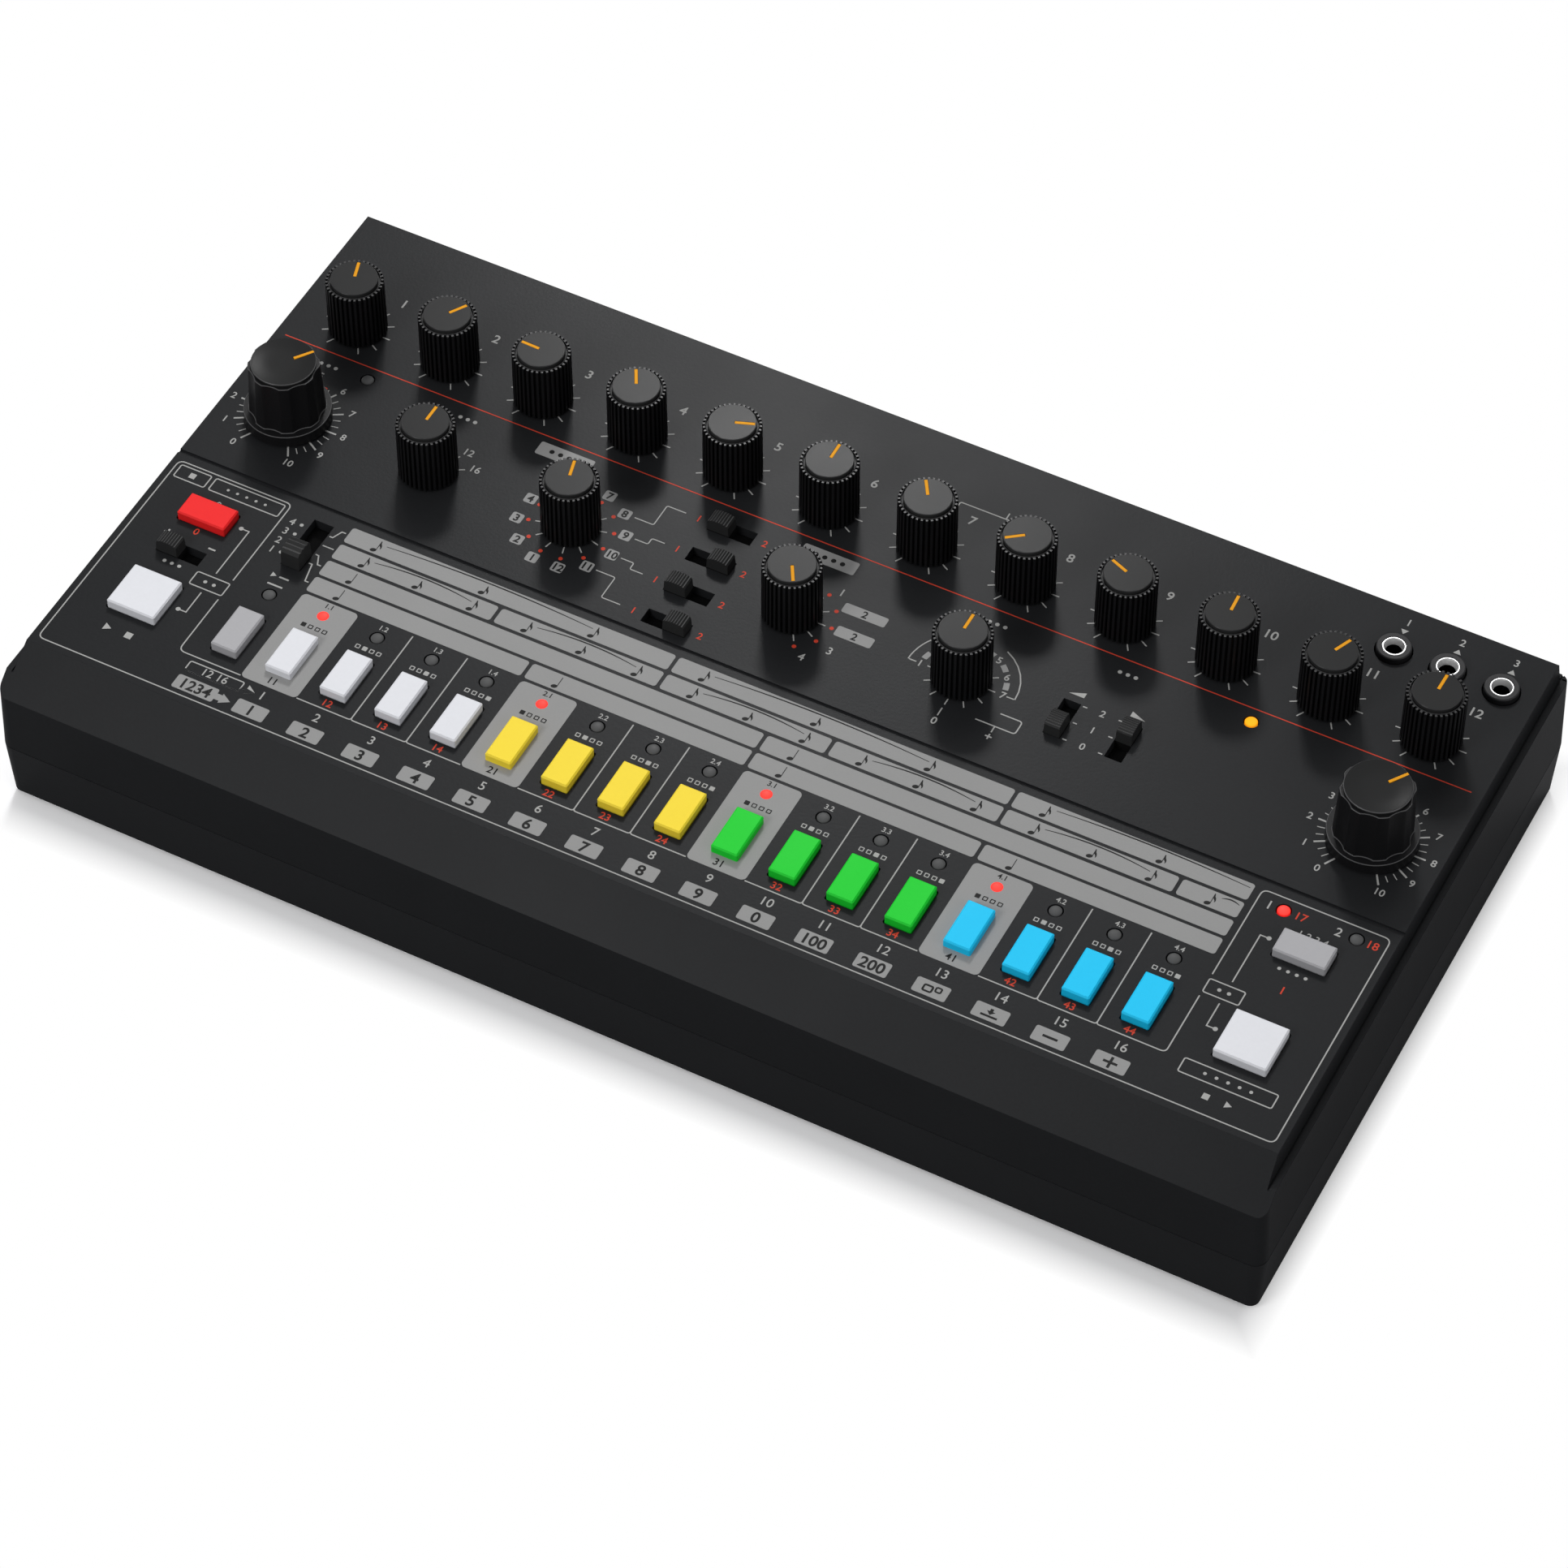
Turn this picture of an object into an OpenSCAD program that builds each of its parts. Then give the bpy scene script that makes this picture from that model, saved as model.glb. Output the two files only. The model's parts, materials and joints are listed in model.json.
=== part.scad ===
// Desktop drum machine: a two-part case, two circuit boards, knobs, keys, slide switches and sockets.
// Origin: centre of the case in plan, z = 0 under the rubber feet.
// X runs to the right, Y to the back and Z up. All sizes are in millimetres.

/* [Case] */
// Width of the case at the parting line
case_w = 305.7; // [304:0.1:370]
// Depth of the case at the parting line
case_d = 161.7; // [161:0.1:200]
// Height of the lower shell
lower_h = 15.5; // [15:0.1:24]
// Height of the upper shell, from the parting line to the control panel
upper_h = 25.3; // [25:0.1:34]
// Thickness of the side walls and the floor
wall_t = 2.4; // [2:0.1:3]
// Thickness of the control panel
panel_t = 2.5; // [2:0.1:3]
// Radius of the upright corners at the parting line
corner_r = 3.1; // [2.6:0.1:6]
// Radius of the upright corners inside the shells, at the parting line
inner_r = 2; // [1.4:0.1:4]
// Inward lean of the outer walls, millimetres for each millimetre of height
wall_draft = 0.043; // [0.02:0.001:0.06]
// Inward lean of the lower shell's walls towards the floor
lower_draft = 0.055; // [0.02:0.005:0.08]
// Depth in plan of the strip in front of the panel, from its crease to the front wall
crease_inset = 11; // [10.8:0.1:16]
// Height of the sloping front band
band_drop = 9.6; // [7:0.1:12]
// Depth in plan of the sloping front band
band_run = 10.54; // [8:0.01:12]
// Width of the stepped ledge beside and behind the raised panel block
ledge_w = 3.15; // [2.5:0.05:5]
// Drop from the panel to the ledge
ledge_drop = 4.95; // [3:0.05:7]
// Lean of the raised block's walls over their height
block_draft = 0.5; // [0.2:0.1:0.9]
// Width of the fine channel at the foot of the raised block
channel_w = 0.38; // [0.2:0.01:0.8]
// Depth of that channel below the ledge
channel_drop = 0.4; // [0.3:0.05:1]
// Width of the open joint between the two shells
parting_gap = 0.3; // [0.1:0.05:0.5]
// Height of the tongue that locates the shells on each other
tongue_h = 1.2; // [0.8:0.1:1.2]
// Thickness of the tongue
tongue_t = 1.1; // [0.9:0.1:1.2]
// Gap between two pieces that are pressed or glued together
seat_gap = 0.03; // [0.02:0.01:0.05]
// Width of the groove that runs across the panel
groove_w = 1.1; // [0.6:0.1:2]
// Depth of that groove
groove_deep = 0.5; // [0.2:0.1:1]
// Height of the rubber feet below the case
foot_h = 1.4; // [1:0.1:6]
// Diameter of the rubber feet
foot_d = 14; // [10:0.5:18]

/* [Boards] */
// Space between the panel and the control board
board_gap = 9.2; // [9:0.1:11]
// Thickness of both circuit boards
board_t = 1.6; // [1.2:0.1:2]
// Height of the connector board above the case floor
standoff_h = 9.6; // [9:0.1:11]
// Thread diameter of the case screws
case_screw_d = 3; // [2.5:0.1:3]
// Head diameter of the case screws
case_head_d = 5.6; // [5:0.1:5.8]
// Thread diameter of the board screws
board_screw_d = 2.2; // [2:0.1:2.5]
// Head diameter of the board screws
board_head_d = 4.2; // [3.8:0.1:4.6]

/* [Level and selector knobs] */
// Distance of the level knobs in front of the panel's back edge
level_from_back = 32.4; // [32:0.1:40]
// Spacing of the level knobs
level_pitch = 24.25; // [22:0.05:27]
// Distance from the level row to the selector row
row_gap = 31.25; // [30:0.05:34]
// Height of the small knobs above the panel
knob_h = 16.2; // [14:0.1:22]
// Diameter of the skirt at its foot
knob_d = 13.6; // [12:0.1:15]
// Diameter of the skirt at its top
knob_top_d = 13; // [11.5:0.1:14]
// Diameter of the cap disc
cap_d = 10.9; // [9:0.1:11]
// Number of grip ribs
rib_count = 36; // [24:1:40]
// Depth of the flat on a shaft
flat_deep = 1.5; // [1:0.1:1.8]
// Height above the panel at which that flat starts
flat_z = 2; // [1.5:0.1:4]
// Width of the pointer line on every knob
line_w = 0.76; // [0.5:0.02:1]
// Depth of the groove in which the pointer line lies
line_deep = 0.3; // [0.2:0.05:0.4]
// Gap between a knob and the panel
knob_lift = 0.5; // [0.3:0.1:1]
// Diameter of the control shafts
shaft_d = 6; // [5:0.1:6.4]
// Running clearance round a shaft, on the radius
shaft_play = 0.05; // [0.02:0.01:0.1]
// Diameter of the shaft holes in the panel
shaft_hole_d = 7.2; // [6.8:0.1:8]

/* [Tempo and volume knobs] */
// Distance of the side columns from the edges of the panel
side_inset = 16.4; // [16:0.1:22]
// Height of the large knobs above the panel
big_knob_h = 17.8; // [16:0.1:24]
// Diameter of the flange of the large knobs
flange_d = 20; // [18:0.1:24]
// Thickness of that flange
flange_t = 3; // [2:0.1:4]
// Diameter of the gripped body at its foot
body_d = 17.4; // [16.6:0.1:18]
// Diameter of the gripped body at its top
body_top_d = 16.3; // [15.6:0.1:17]
// Diameter of the cap disc of the large knobs
big_cap_d = 14.5; // [12:0.1:14.8]
// Number of flutes in the body
flute_count = 8; // [6:1:10]
// Depth of a finger flute of a large knob
flute_deep = 0.45; // [0.2:0.05:0.6]
// Radius of a finger flute at its foot
flute_r = 5.6; // [4:0.1:7]

/* [Keys] */
// Spacing of the step keys
key_pitch = 13.7; // [12:0.05:14.2]
// Width of a step key
key_w = 6.4; // [5:0.1:8]
// Depth of a step key
key_d = 12.3; // [9:0.1:13]
// Distance of the key row behind the front crease
key_from_crease = 22.55; // [22:0.05:30]
// Offset of the key row's middle to the right of the case's middle
key_offset = 6.95; // [4:0.05:8]
// Height of the key tops above the panel
key_rise = 2.1; // [1.5:0.1:4]
// Travel of a key
key_travel = 0.9; // [0.5:0.1:1]
// Gap round a key in its window
key_gap = 0.3; // [0.2:0.05:0.5]
// Side of the two large square keys
square_key = 12.1; // [10:0.1:13]
// Depth of the two low keys above them
low_key_d = 6.6; // [5:0.1:8]
// Distance from the key row to the low keys
low_key_up = 26.75; // [24:0.05:30]

/* [Indicators] */
// Diameter of the indicator lenses
led_d = 2.9; // [2.8:0.1:3]
// Diameter of the indicator holes
led_hole_d = 3.5; // [3.3:0.1:3.8]
// Distance from the key row to the indicators above it
led_up = 13.2; // [13:0.1:15]

/* [Slide switches] */
// Length of a short switch slot
slot_len = 10.9; // [10:0.1:13]
// Width of a short switch slot
slot_w = 4.1; // [3.6:0.1:5]
// Length of a switch cap along its travel
slide_cap_len = 5.4; // [5:0.1:5.6]
// Travel of a short switch
slide_travel = 5.2; // [4:0.1:5.4]
// Height of a switch cap above the panel
slide_cap_rise = 3.4; // [2.4:0.1:4.2]
// How far the ends of a slide cap's top lie below its middle
slide_cap_sag = 0.6; // [0.3:0.1:1.2]
// Ridges across a short slide cap
slide_cap_ridges = 8; // [5:1:9]
// Length of the four-position slot
scale_slot_len = 14.9; // [14.9:0.1:16]
// Width of the four-position slot
scale_slot_w = 5; // [4.6:0.1:6]
// Travel between two positions of the four-position switch
scale_step = 3.1; // [2.8:0.05:3.1]
// Height of the four-position cap above the panel
scale_cap_rise = 5; // [3.5:0.1:6]
// Ridges across the scale switch's cap
scale_cap_ridges = 4; // [3:1:6]
// Gap between a switch cap and the sides of its slot
slide_gap = 0.15; // [0.1:0.05:0.3]

/* [Sockets] */
// Bore of the 3.5 mm jacks
jack_bore = 3.6; // [3.55:0.01:3.7]
// Spacing of the three jacks on the panel
jack_pitch = 12.7; // [12:0.1:14]
// Outer diameter of a panel jack's collar
collar_d = 7.9; // [7:0.1:8.2]
// Height of that collar above the panel
collar_rise = 1.4; // [0.8:0.1:2]
// Bore of the 6.35 mm jack
big_jack_bore = 6.4; // [6.38:0.01:6.5]
// Spacing of the voice output jacks
voice_pitch = 16; // [15:0.5:17]
// Travel of the power switch
power_travel = 4.2; // [3:0.1:5]

/* [Rest pose] */
// Pointer angles of the level knobs, counter-clockwise from the right
level_rest = [108, 58, 178, 119, 21, 91, 122, 217, 158, 93, 66, 89];
// Pointer angle of the measure knob
measure_rest = 90; // [30:30:150]
// Pointer angle of the track knob
track_rest = 105; // [-75:30:255]
// Pointer angle of the pattern mode knob
mode_rest = -60; // [-60:30:60]
// Pointer angle of the fill-in knob
fill_rest = 90; // [-60:30:270]
// Pointer angle of the tempo knob
tempo_rest = 53; // [-60:1:240]
// Pointer angle of the volume knob
volume_rest = 55; // [-60:1:240]

/* [Hidden] */
$fn = 64;

// Colours
case_colour = [0.13, 0.13, 0.135];
knob_colour = [0.05, 0.05, 0.055];
cap_colour = [0.2, 0.2, 0.205];
pointer_colour = [0.95, 0.65, 0.1];
metal_colour = [0.75, 0.75, 0.75];
board_colour = [0.08, 0.3, 0.15];
part_colour = [0.1, 0.1, 0.1];
key_colours = ["white", [1, 0.82, 0.2], [0.2, 0.8, 0.3], [0.2, 0.75, 1]];

// Levels
base_z = foot_h;
parting_z = base_z + lower_h;
panel_z = parting_z + upper_h;
under_z = panel_z - panel_t;
ledge_z = panel_z - ledge_drop;
board_top = under_z - board_gap;
board_low = board_top - board_t;
floor_z = base_z + wall_t;
conn_low = floor_z + standoff_h;
conn_top = conn_low + board_t;

// Plan
half_w = case_w / 2;
half_d = case_d / 2;
block_hw = half_w - ledge_w;
block_back = half_d - ledge_w + 0.2;
crease_y = -half_d + crease_inset;
slope_angle = atan(band_drop / band_run);
block_foot = block_hw + block_draft;
foot_back = block_back + block_draft;
small = 0.01;
far = 20;

// Control positions
level_y = block_back - level_from_back;
row2_y = level_y - row_gap;
key_y = crease_y + key_from_crease;
led_y = key_y + led_up;
low_key_y = key_y + low_key_up;
groove_y = key_y + 41.15;
side_x = block_hw - side_inset;
key1_x = key_offset - 7.5 * key_pitch;
cancel_x = key1_x - key_pitch;
measure_x = -96.9;
track_x = -60.45;
mode_x = -5.2;
fill_x = 36.2;
voice_x = -28.15;
voice_y = [15.25, 5.15, -5.05, -15.35];
voice_side = [-1, 1, -1, 1];
fade_x = [60.4, 75.1];
scale_y = key_y + 29.6;
variation_y = key_y + 15.1;
jack_x = block_hw - 8.3;
jack_y = block_back - 12.6;
small_knob_x = [measure_x, track_x, mode_x, fill_x];
side_led = [-8.6, 8.1];

// Screw posts of the case: front pair, front middle pair, back pair and one behind the middle
post_r = 3.5;
post_front_y = -half_d + 9.4;
post_back_y = block_back - 3.9;
post_side_x = block_hw - 4.2;
posts = [[-post_side_x, post_front_y], [post_side_x, post_front_y], [-48, post_front_y], [48, post_front_y],
    [-post_side_x, post_back_y], [post_side_x, post_back_y], [-22, post_back_y]];
head_seat_z = base_z + 6;
screw_bite = 7;

// Screws of the control board, placed between the controls
boss_r = 3.2;
board_bosses = [[-5 * level_pitch, level_y], [-2 * level_pitch, level_y], [2 * level_pitch, level_y],
    [5 * level_pitch, level_y], [-78, groove_y - 6], [78, groove_y - 6],
    [-121.3, key_y - 12.6], [0, key_y - 12.6], [121.3, key_y - 12.6]];
pilot_play = 0.06;

// Outline of the control board
board_hw = block_hw - 5.5;
board_front = crease_y + 5.8;
board_back = level_y + 6.4;
tab_x = jack_x - 2 * jack_pitch - 7.6;
tab_back = jack_y + 4.7;

// Connector board and the row of sockets behind it
conn_hw = block_hw - 8.6;
conn_front = block_back - 30.8;
wall_in = half_d - wall_t - wall_draft * (ledge_z - parting_z);
conn_back = wall_in - 0.6;
sock_back = wall_in - 0.1;
mouth_y = half_d - 0.6;
conn_screws = [[-conn_hw + 4, conn_front + 4], [-56, conn_front + 4], [-22, conn_front + 14],
    [46, conn_front + 4], [conn_hw - 4, conn_front + 4]];
power_x = -131;
dc_x = -112;
usb_x = -92.5;
midi_x = [-69, -44];
big_jack_x = 0;
voice_out_x = [for (i = [0:7]) 22 + i * voice_pitch];
power_z = conn_top + 8;
dc_z = conn_top + 8;
usb_z = conn_top + 8;
midi_z = conn_top + 11.1;
big_jack_z = conn_top + 9.4;
voice_out_z = conn_top + 7.4;
hole_play = 0.4;

// Parts on the boards
solder_gap = 0.05;
link_x = 72;
link_y = conn_front + 1.5;
link_w = 26;
link_split = (board_low + conn_top) / 2;
pot_w = 10;
pot_d = 11;
pot_top = under_z - 2.6;
pot_collar_r = 4.2;
tact_w = 6;
tact_h = 3.5;
button_r = 1.6;
stem_foot = board_top + tact_h + 1;
plate_t = 1;
plate_top = under_z - 0.3;
slide_body_h = 5.2;
cap_seat = 1.2;

// ---------- Helpers ----------

// Rectangle with rounded corners, centred
module round_rect(w, d, r) {
    union() {
        square([w - 2 * r, d], center = true);
        square([w, d - 2 * r], center = true);
        for (sx = [-1, 1], sy = [-1, 1])
            translate([sx * (w / 2 - r), sy * (d / 2 - r)]) circle(r, $fn = 32);
    }
}

// Upright block with rounded corners between two levels
module round_block(w, d, r, z0, z1) {
    translate([0, 0, z0]) linear_extrude(z1 - z0) round_rect(w, d, r);
}

// Box given by its middle in plan and its two levels
module block(x, y, w, d, z0, z1) {
    translate([x - w / 2, y - d / 2, z0]) cube([w, d, z1 - z0]);
}

// Upright rod between two levels
module rod(x, y, r, z0, z1) {
    translate([x, y, z0]) cylinder(r = r, h = z1 - z0);
}

// Rod along the depth between two values of y
module deep_rod(x, z, r, y0, y1) {
    translate([x, y1, z]) rotate([90, 0, 0]) cylinder(r = r, h = y1 - y0);
}

// Section drawn in width and height, run along the depth
module run_deep(y0, y1) {
    translate([0, y1, 0]) rotate([90, 0, 0]) linear_extrude(y1 - y0) children();
}

// Section drawn in depth and height, run along the width
module run_wide(x0, x1) {
    translate([x0, 0, 0]) rotate([90, 0, 90]) linear_extrude(x1 - x0) children();
}

// Block whose four walls and corners lean in with height by the draft, largest at z_wide
module leaning_block(hw, hd, r, z_wide, z_tip, draft) {
    rise = z_tip - z_wide;
    // Kept to a thousandth, so that the walls and the corner cones meet exactly
    lean = round(1000 * draft * abs(rise)) / 1000;
    z0 = min(z_wide, z_tip);
    z1 = max(z_wide, z_tip);
    low = rise > 0 ? 0 : lean;
    high = rise > 0 ? lean : 0;
    union() {
        run_deep(-hd + r, hd - r)
            polygon([[-hw + low, z0], [hw - low, z0], [hw - high, z1], [-hw + high, z1]]);
        run_wide(-hw + r, hw - r)
            polygon([[-hd + low, z0], [hd - low, z0], [hd - high, z1], [-hd + high, z1]]);
        for (sx = [-1, 1], sy = [-1, 1])
            translate([sx * (hw - r), sy * (hd - r), z0]) cylinder(r1 = r - low, r2 = r - high, h = z1 - z0);
    }
}

// ---------- Case forms ----------

// What the sloping band takes off the upper shell; skin moves the slope inwards
module band_cut(skin) {
    top_y = crease_y + skin / sin(slope_angle);
    reach = 30;
    run_wide(-half_w - 5, half_w + 5)
        polygon([[top_y + far * cos(slope_angle), panel_z + far * sin(slope_angle)],
            [top_y - reach * cos(slope_angle), panel_z - reach * sin(slope_angle)],
            [top_y - reach * cos(slope_angle), panel_z + far * sin(slope_angle)]]);
}

// Section outside the raised block, from its wall outwards, with the channel at its foot
module ledge_section(top_at, foot_at) {
    lean = (foot_at - top_at) / (ledge_drop + channel_drop);
    polygon([[foot_at, ledge_z - channel_drop], [foot_at + channel_w, ledge_z - channel_drop],
        [foot_at + channel_w, ledge_z], [foot_at + far, ledge_z],
        [foot_at + far, panel_z + 2], [top_at - 2 * lean, panel_z + 2]]);
}

// The same section one wall thickness further in, for the hollow of the shell
module inner_ledge_section(top_at, foot_at) {
    polygon([[foot_at - wall_t, ledge_z - wall_t], [foot_at + far, ledge_z - wall_t],
        [foot_at + far, panel_z], [top_at - wall_t, panel_z]]);
}

// Outside of the upper shell
module upper_outside() {
    difference() {
        leaning_block(half_w, half_d, corner_r, parting_z, panel_z, wall_draft);
        band_cut(0);
        for (s = [0, 1]) mirror([s, 0, 0])
            run_deep(-half_d - 5, half_d + 5) ledge_section(block_hw, block_foot);
        run_wide(-half_w - 5, half_w + 5) ledge_section(block_back, foot_back);
    }
}

// Hollow of the upper shell, open below
module upper_hollow() {
    difference() {
        leaning_block(half_w - wall_t, half_d - wall_t, inner_r, parting_z, under_z, wall_draft);
        band_cut(wall_t);
        for (s = [0, 1]) mirror([s, 0, 0])
            run_deep(-half_d - 5, half_d + 5) inner_ledge_section(block_hw, block_foot);
        run_wide(-half_w - 5, half_w + 5) inner_ledge_section(block_back, foot_back);
    }
    block(0, 0, case_w - 2 * wall_t - 2, case_d - 2 * wall_t - 2, parting_z - 1, parting_z + 1);
}

// ---------- Openings ----------

module switch_slots() {
    for (i = [0:3]) block(voice_x, row2_y + voice_y[i], slot_len, slot_w, under_z - 1, panel_z + 1);
    for (x = fade_x) block(x, row2_y, slot_w, slot_len, under_z - 1, panel_z + 1);
    block(-side_x, variation_y, slot_len, slot_w, under_z - 1, panel_z + 1);
    block(cancel_x, scale_y, scale_slot_w, scale_slot_len, under_z - 1, panel_z + 1);
}

module key_window(x, y, w, d) {
    translate([x, y, 0])
        round_block(w + 2 * key_gap, d + 2 * key_gap, 0.5, under_z - 1, panel_z + 1);
}

module key_windows() {
    for (i = [0:15]) key_window(key1_x + i * key_pitch, key_y, key_w, key_d);
    key_window(cancel_x, key_y, key_w, key_d);
    for (x = [-side_x, side_x]) {
        key_window(x, key_y, square_key, square_key);
        key_window(x, low_key_y, square_key, low_key_d);
    }
}

// Places of all indicators
led_places = concat([for (i = [0:15]) [key1_x + i * key_pitch, led_y]],
    [[cancel_x, led_y], [-side_x + 10.1, level_y - 13.2], [4 * level_pitch, level_y - 13.2]],
    [for (dx = side_led) [side_x + dx, low_key_y + 8.65]]);

module panel_holes() {
    for (i = [0:11]) rod((i - 5.5) * level_pitch, level_y, shaft_hole_d / 2, under_z - 1, panel_z + 1);
    for (x = concat(small_knob_x, [-side_x, side_x])) rod(x, row2_y, shaft_hole_d / 2, under_z - 1, panel_z + 1);
    for (p = led_places) rod(p[0], p[1], led_hole_d / 2, under_z - 1, panel_z + 1);
    for (i = [0:2]) rod(jack_x - i * jack_pitch, jack_y, collar_d / 2 + 0.35, under_z - 1, panel_z + 1);
}

// Holes through the back wall, one for each socket's mouth
module back_holes() {
    y0 = wall_in - 1.5;
    y1 = half_d + 2;
    block(power_x, (y0 + y1) / 2, power_opening_w, y1 - y0, power_z - 2.1, power_z + 2.1);
    deep_rod(dc_x, dc_z, dc_neck_r + hole_play, y0, y1);
    block(usb_x, (y0 + y1) / 2, usb_neck_w + 2 * hole_play, y1 - y0,
        usb_z - usb_neck_h / 2 - hole_play, usb_z + usb_neck_h / 2 + hole_play);
    for (x = midi_x) deep_rod(x, midi_z, midi_neck_r + hole_play, y0, y1);
    deep_rod(big_jack_x, big_jack_z, big_neck_r + hole_play, y0, y1);
    for (x = voice_out_x) deep_rod(x, voice_out_z, voice_neck_r + hole_play, y0, y1);
}

// Mouth sizes of the back sockets
dc_neck_r = 4.1;
usb_neck_w = 9.3;
usb_neck_h = 8.6;
midi_neck_r = 7.5;
big_neck_r = 5.3;
voice_neck_r = 3.4;
power_knob_w = 4.2;
power_opening_w = power_knob_w + power_travel + 0.6;

// ---------- Case ----------

module top_case() {
    color(case_colour) difference() {
        union() {
            difference() {
                upper_outside();
                upper_hollow();
            }
            // Screw posts down to the parting line
            intersection() {
                for (p = posts) rod(p[0], p[1], post_r, parting_z, panel_z);
                upper_inner_limit();
            }
            // Bosses for the control board
            for (p = board_bosses) rod(p[0], p[1], boss_r, board_top, under_z + 1);
            // Stiffening ribs under the panel
            block(0, level_y - 8.8, 2 * block_hw - 2 * wall_t, 1.4, under_z - 3, under_z + 1);
            block(8, key_y + 20.3, 216, 1.4, under_z - 3, under_z + 1);
        }
        panel_holes();
        key_windows();
        switch_slots();
        back_holes();
        // Groove across the panel
        block(0, groove_y, case_w + 4, groove_w, panel_z - groove_deep, panel_z + 1);
        // Open joint and the seat for the lower shell's tongue
        difference() {
            block(0, 0, case_w + 4, case_d + 4, parting_z - 1, parting_z + parting_gap / 2);
            block(0, 0, case_w - 2 * wall_t - 1, case_d - 2 * wall_t - 1, parting_z - 2, parting_z + 2);
        }
        difference() {
            round_block(case_w - 2 * (wall_t - tongue_t) + 0.3, case_d - 2 * (wall_t - tongue_t) + 0.3,
                corner_r - wall_t + tongue_t, parting_z - 1, parting_z + tongue_h);
            round_block(case_w - 2 * wall_t - 0.6, case_d - 2 * wall_t - 0.6, inner_r + 0.6,
                parting_z - 2, parting_z + 4);
        }
        for (p = posts) rod(p[0], p[1], case_screw_d / 2 + pilot_play, parting_z - 1, head_seat_z + 17);
        for (p = board_bosses) rod(p[0], p[1], board_screw_d / 2 + pilot_play, board_top - 1, board_top + 7);
    }
}

// Space in which the posts may stand: the outside of the shell, a little below the skin
module upper_inner_limit() {
    difference() {
        block(0, 0, case_w - wall_t, case_d - wall_t, parting_z, under_z + 1);
        band_cut(wall_t / 2);
        for (s = [0, 1]) mirror([s, 0, 0])
            block(block_hw + half_w, 0, case_w, case_d + 4, ledge_z - 1.5, panel_z + 2);
        block(0, block_back + half_d, case_w + 4, case_d, ledge_z - 1.5, panel_z + 2);
    }
}

module bottom_case() {
    tongue_out = wall_t - tongue_t;
    color(case_colour) difference() {
        union() {
            difference() {
                leaning_block(half_w, half_d, corner_r, parting_z, base_z, lower_draft);
                leaning_block(half_w - wall_t, half_d - wall_t, inner_r, parting_z + small, floor_z, lower_draft);
                block(0, 0, case_w + 4, case_d + 4, parting_z - parting_gap / 2, parting_z + 1);
            }
            // Tongue round the rim
            difference() {
                round_block(case_w - 2 * tongue_out, case_d - 2 * tongue_out, corner_r - tongue_out,
                    parting_z - 1.5, parting_z + tongue_h);
                round_block(case_w - 2 * wall_t, case_d - 2 * wall_t, inner_r,
                    parting_z - 2.5, parting_z + tongue_h + 1);
            }
            for (p = posts) rod(p[0], p[1], post_r, base_z + 1, parting_z);
            for (p = conn_screws) rod(p[0], p[1], 3, floor_z - 1, conn_low);
            // Floor ribs
            for (x = [-110, -66, 66, 110]) block(x, -12, 1.4, case_d - 74, floor_z - 1, floor_z + 3);
            for (y = [-52, -12, 28]) block(0, y, case_w - 40, 1.4, floor_z - 1, floor_z + 3);
        }
        for (p = posts) {
            rod(p[0], p[1], case_head_d / 2 + 0.4, base_z - 1, head_seat_z);
            rod(p[0], p[1], case_screw_d / 2 + 0.2, base_z, parting_z + 1);
        }
        for (p = conn_screws) rod(p[0], p[1], board_screw_d / 2 + pilot_play, floor_z + 1, conn_low + 1);
        for (p = foot_places) rod(p[0], p[1], foot_d / 2 + 0.1, base_z - 1, base_z + foot_seat);
    }
}

// ---------- Boards ----------

foot_seat = 0.8;
foot_places = [for (sx = [-1, 1], sy = [-1, 1]) [sx * (half_w - 22), sy * (half_d - 19)]];

module control_board() {
    color(board_colour) translate([0, 0, board_low]) linear_extrude(board_t) difference() {
        union() {
            translate([-board_hw, board_front]) square([2 * board_hw, board_back - board_front]);
            translate([tab_x, board_back - 1]) square([jack_x + 5 - tab_x, tab_back - board_back + 1]);
        }
        translate([big_jack_x - 8.7, board_back - 0.6]) square([17.4, 2]);
        for (p = board_bosses) translate(p) circle(board_screw_d / 2 + 0.3, $fn = 32);
    }
    // Processor, voice circuits and capacitors under the board
    color(part_colour) {
        block(-30, -20, 14, 14, board_low - 1.4, board_low - solder_gap);
        for (i = [0:10]) block((i - 5) * level_pitch, level_y - 14, 6, 9.9, board_low - 1.75,
            board_low - solder_gap);
        for (x = [-96, -48, 48, 96]) block(x, row2_y - 12, 9.9, 6, board_low - 1.75, board_low - solder_gap);
    }
    color(metal_colour) for (i = [0:10])
        rod((i - 5) * level_pitch + 7.5, level_y - 14, 2.5, board_low - 5.4, board_low - solder_gap);
    color(part_colour) block(link_x, link_y, link_w, 2.5, link_split + seat_gap, board_low - solder_gap);
}

module connector_board() {
    color(board_colour) translate([0, 0, conn_low]) linear_extrude(board_t) difference() {
        translate([-conn_hw, conn_front]) square([2 * conn_hw, conn_back - conn_front]);
        for (p = conn_screws) translate(p) circle(board_screw_d / 2 + 0.3, $fn = 32);
        for (p = posts) translate(p) circle(post_r + 0.5, $fn = 48);
        translate([posts[6][0] - post_r - 0.5, posts[6][1]]) square([2 * post_r + 1, 10]);
    }
    // Socket of the board link, voltage regulator and its capacitors
    color(part_colour) {
        block(link_x, link_y, link_w, 2.5, conn_top + solder_gap, link_split);
        block(dc_x + 4, conn_front + 6, 10, 8, conn_top + solder_gap, conn_top + 4);
    }
    color(metal_colour) for (i = [0:2]) rod(usb_x - 2 + i * 11, conn_front + 6, 4, conn_top + solder_gap, conn_top + 9);
}

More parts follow.
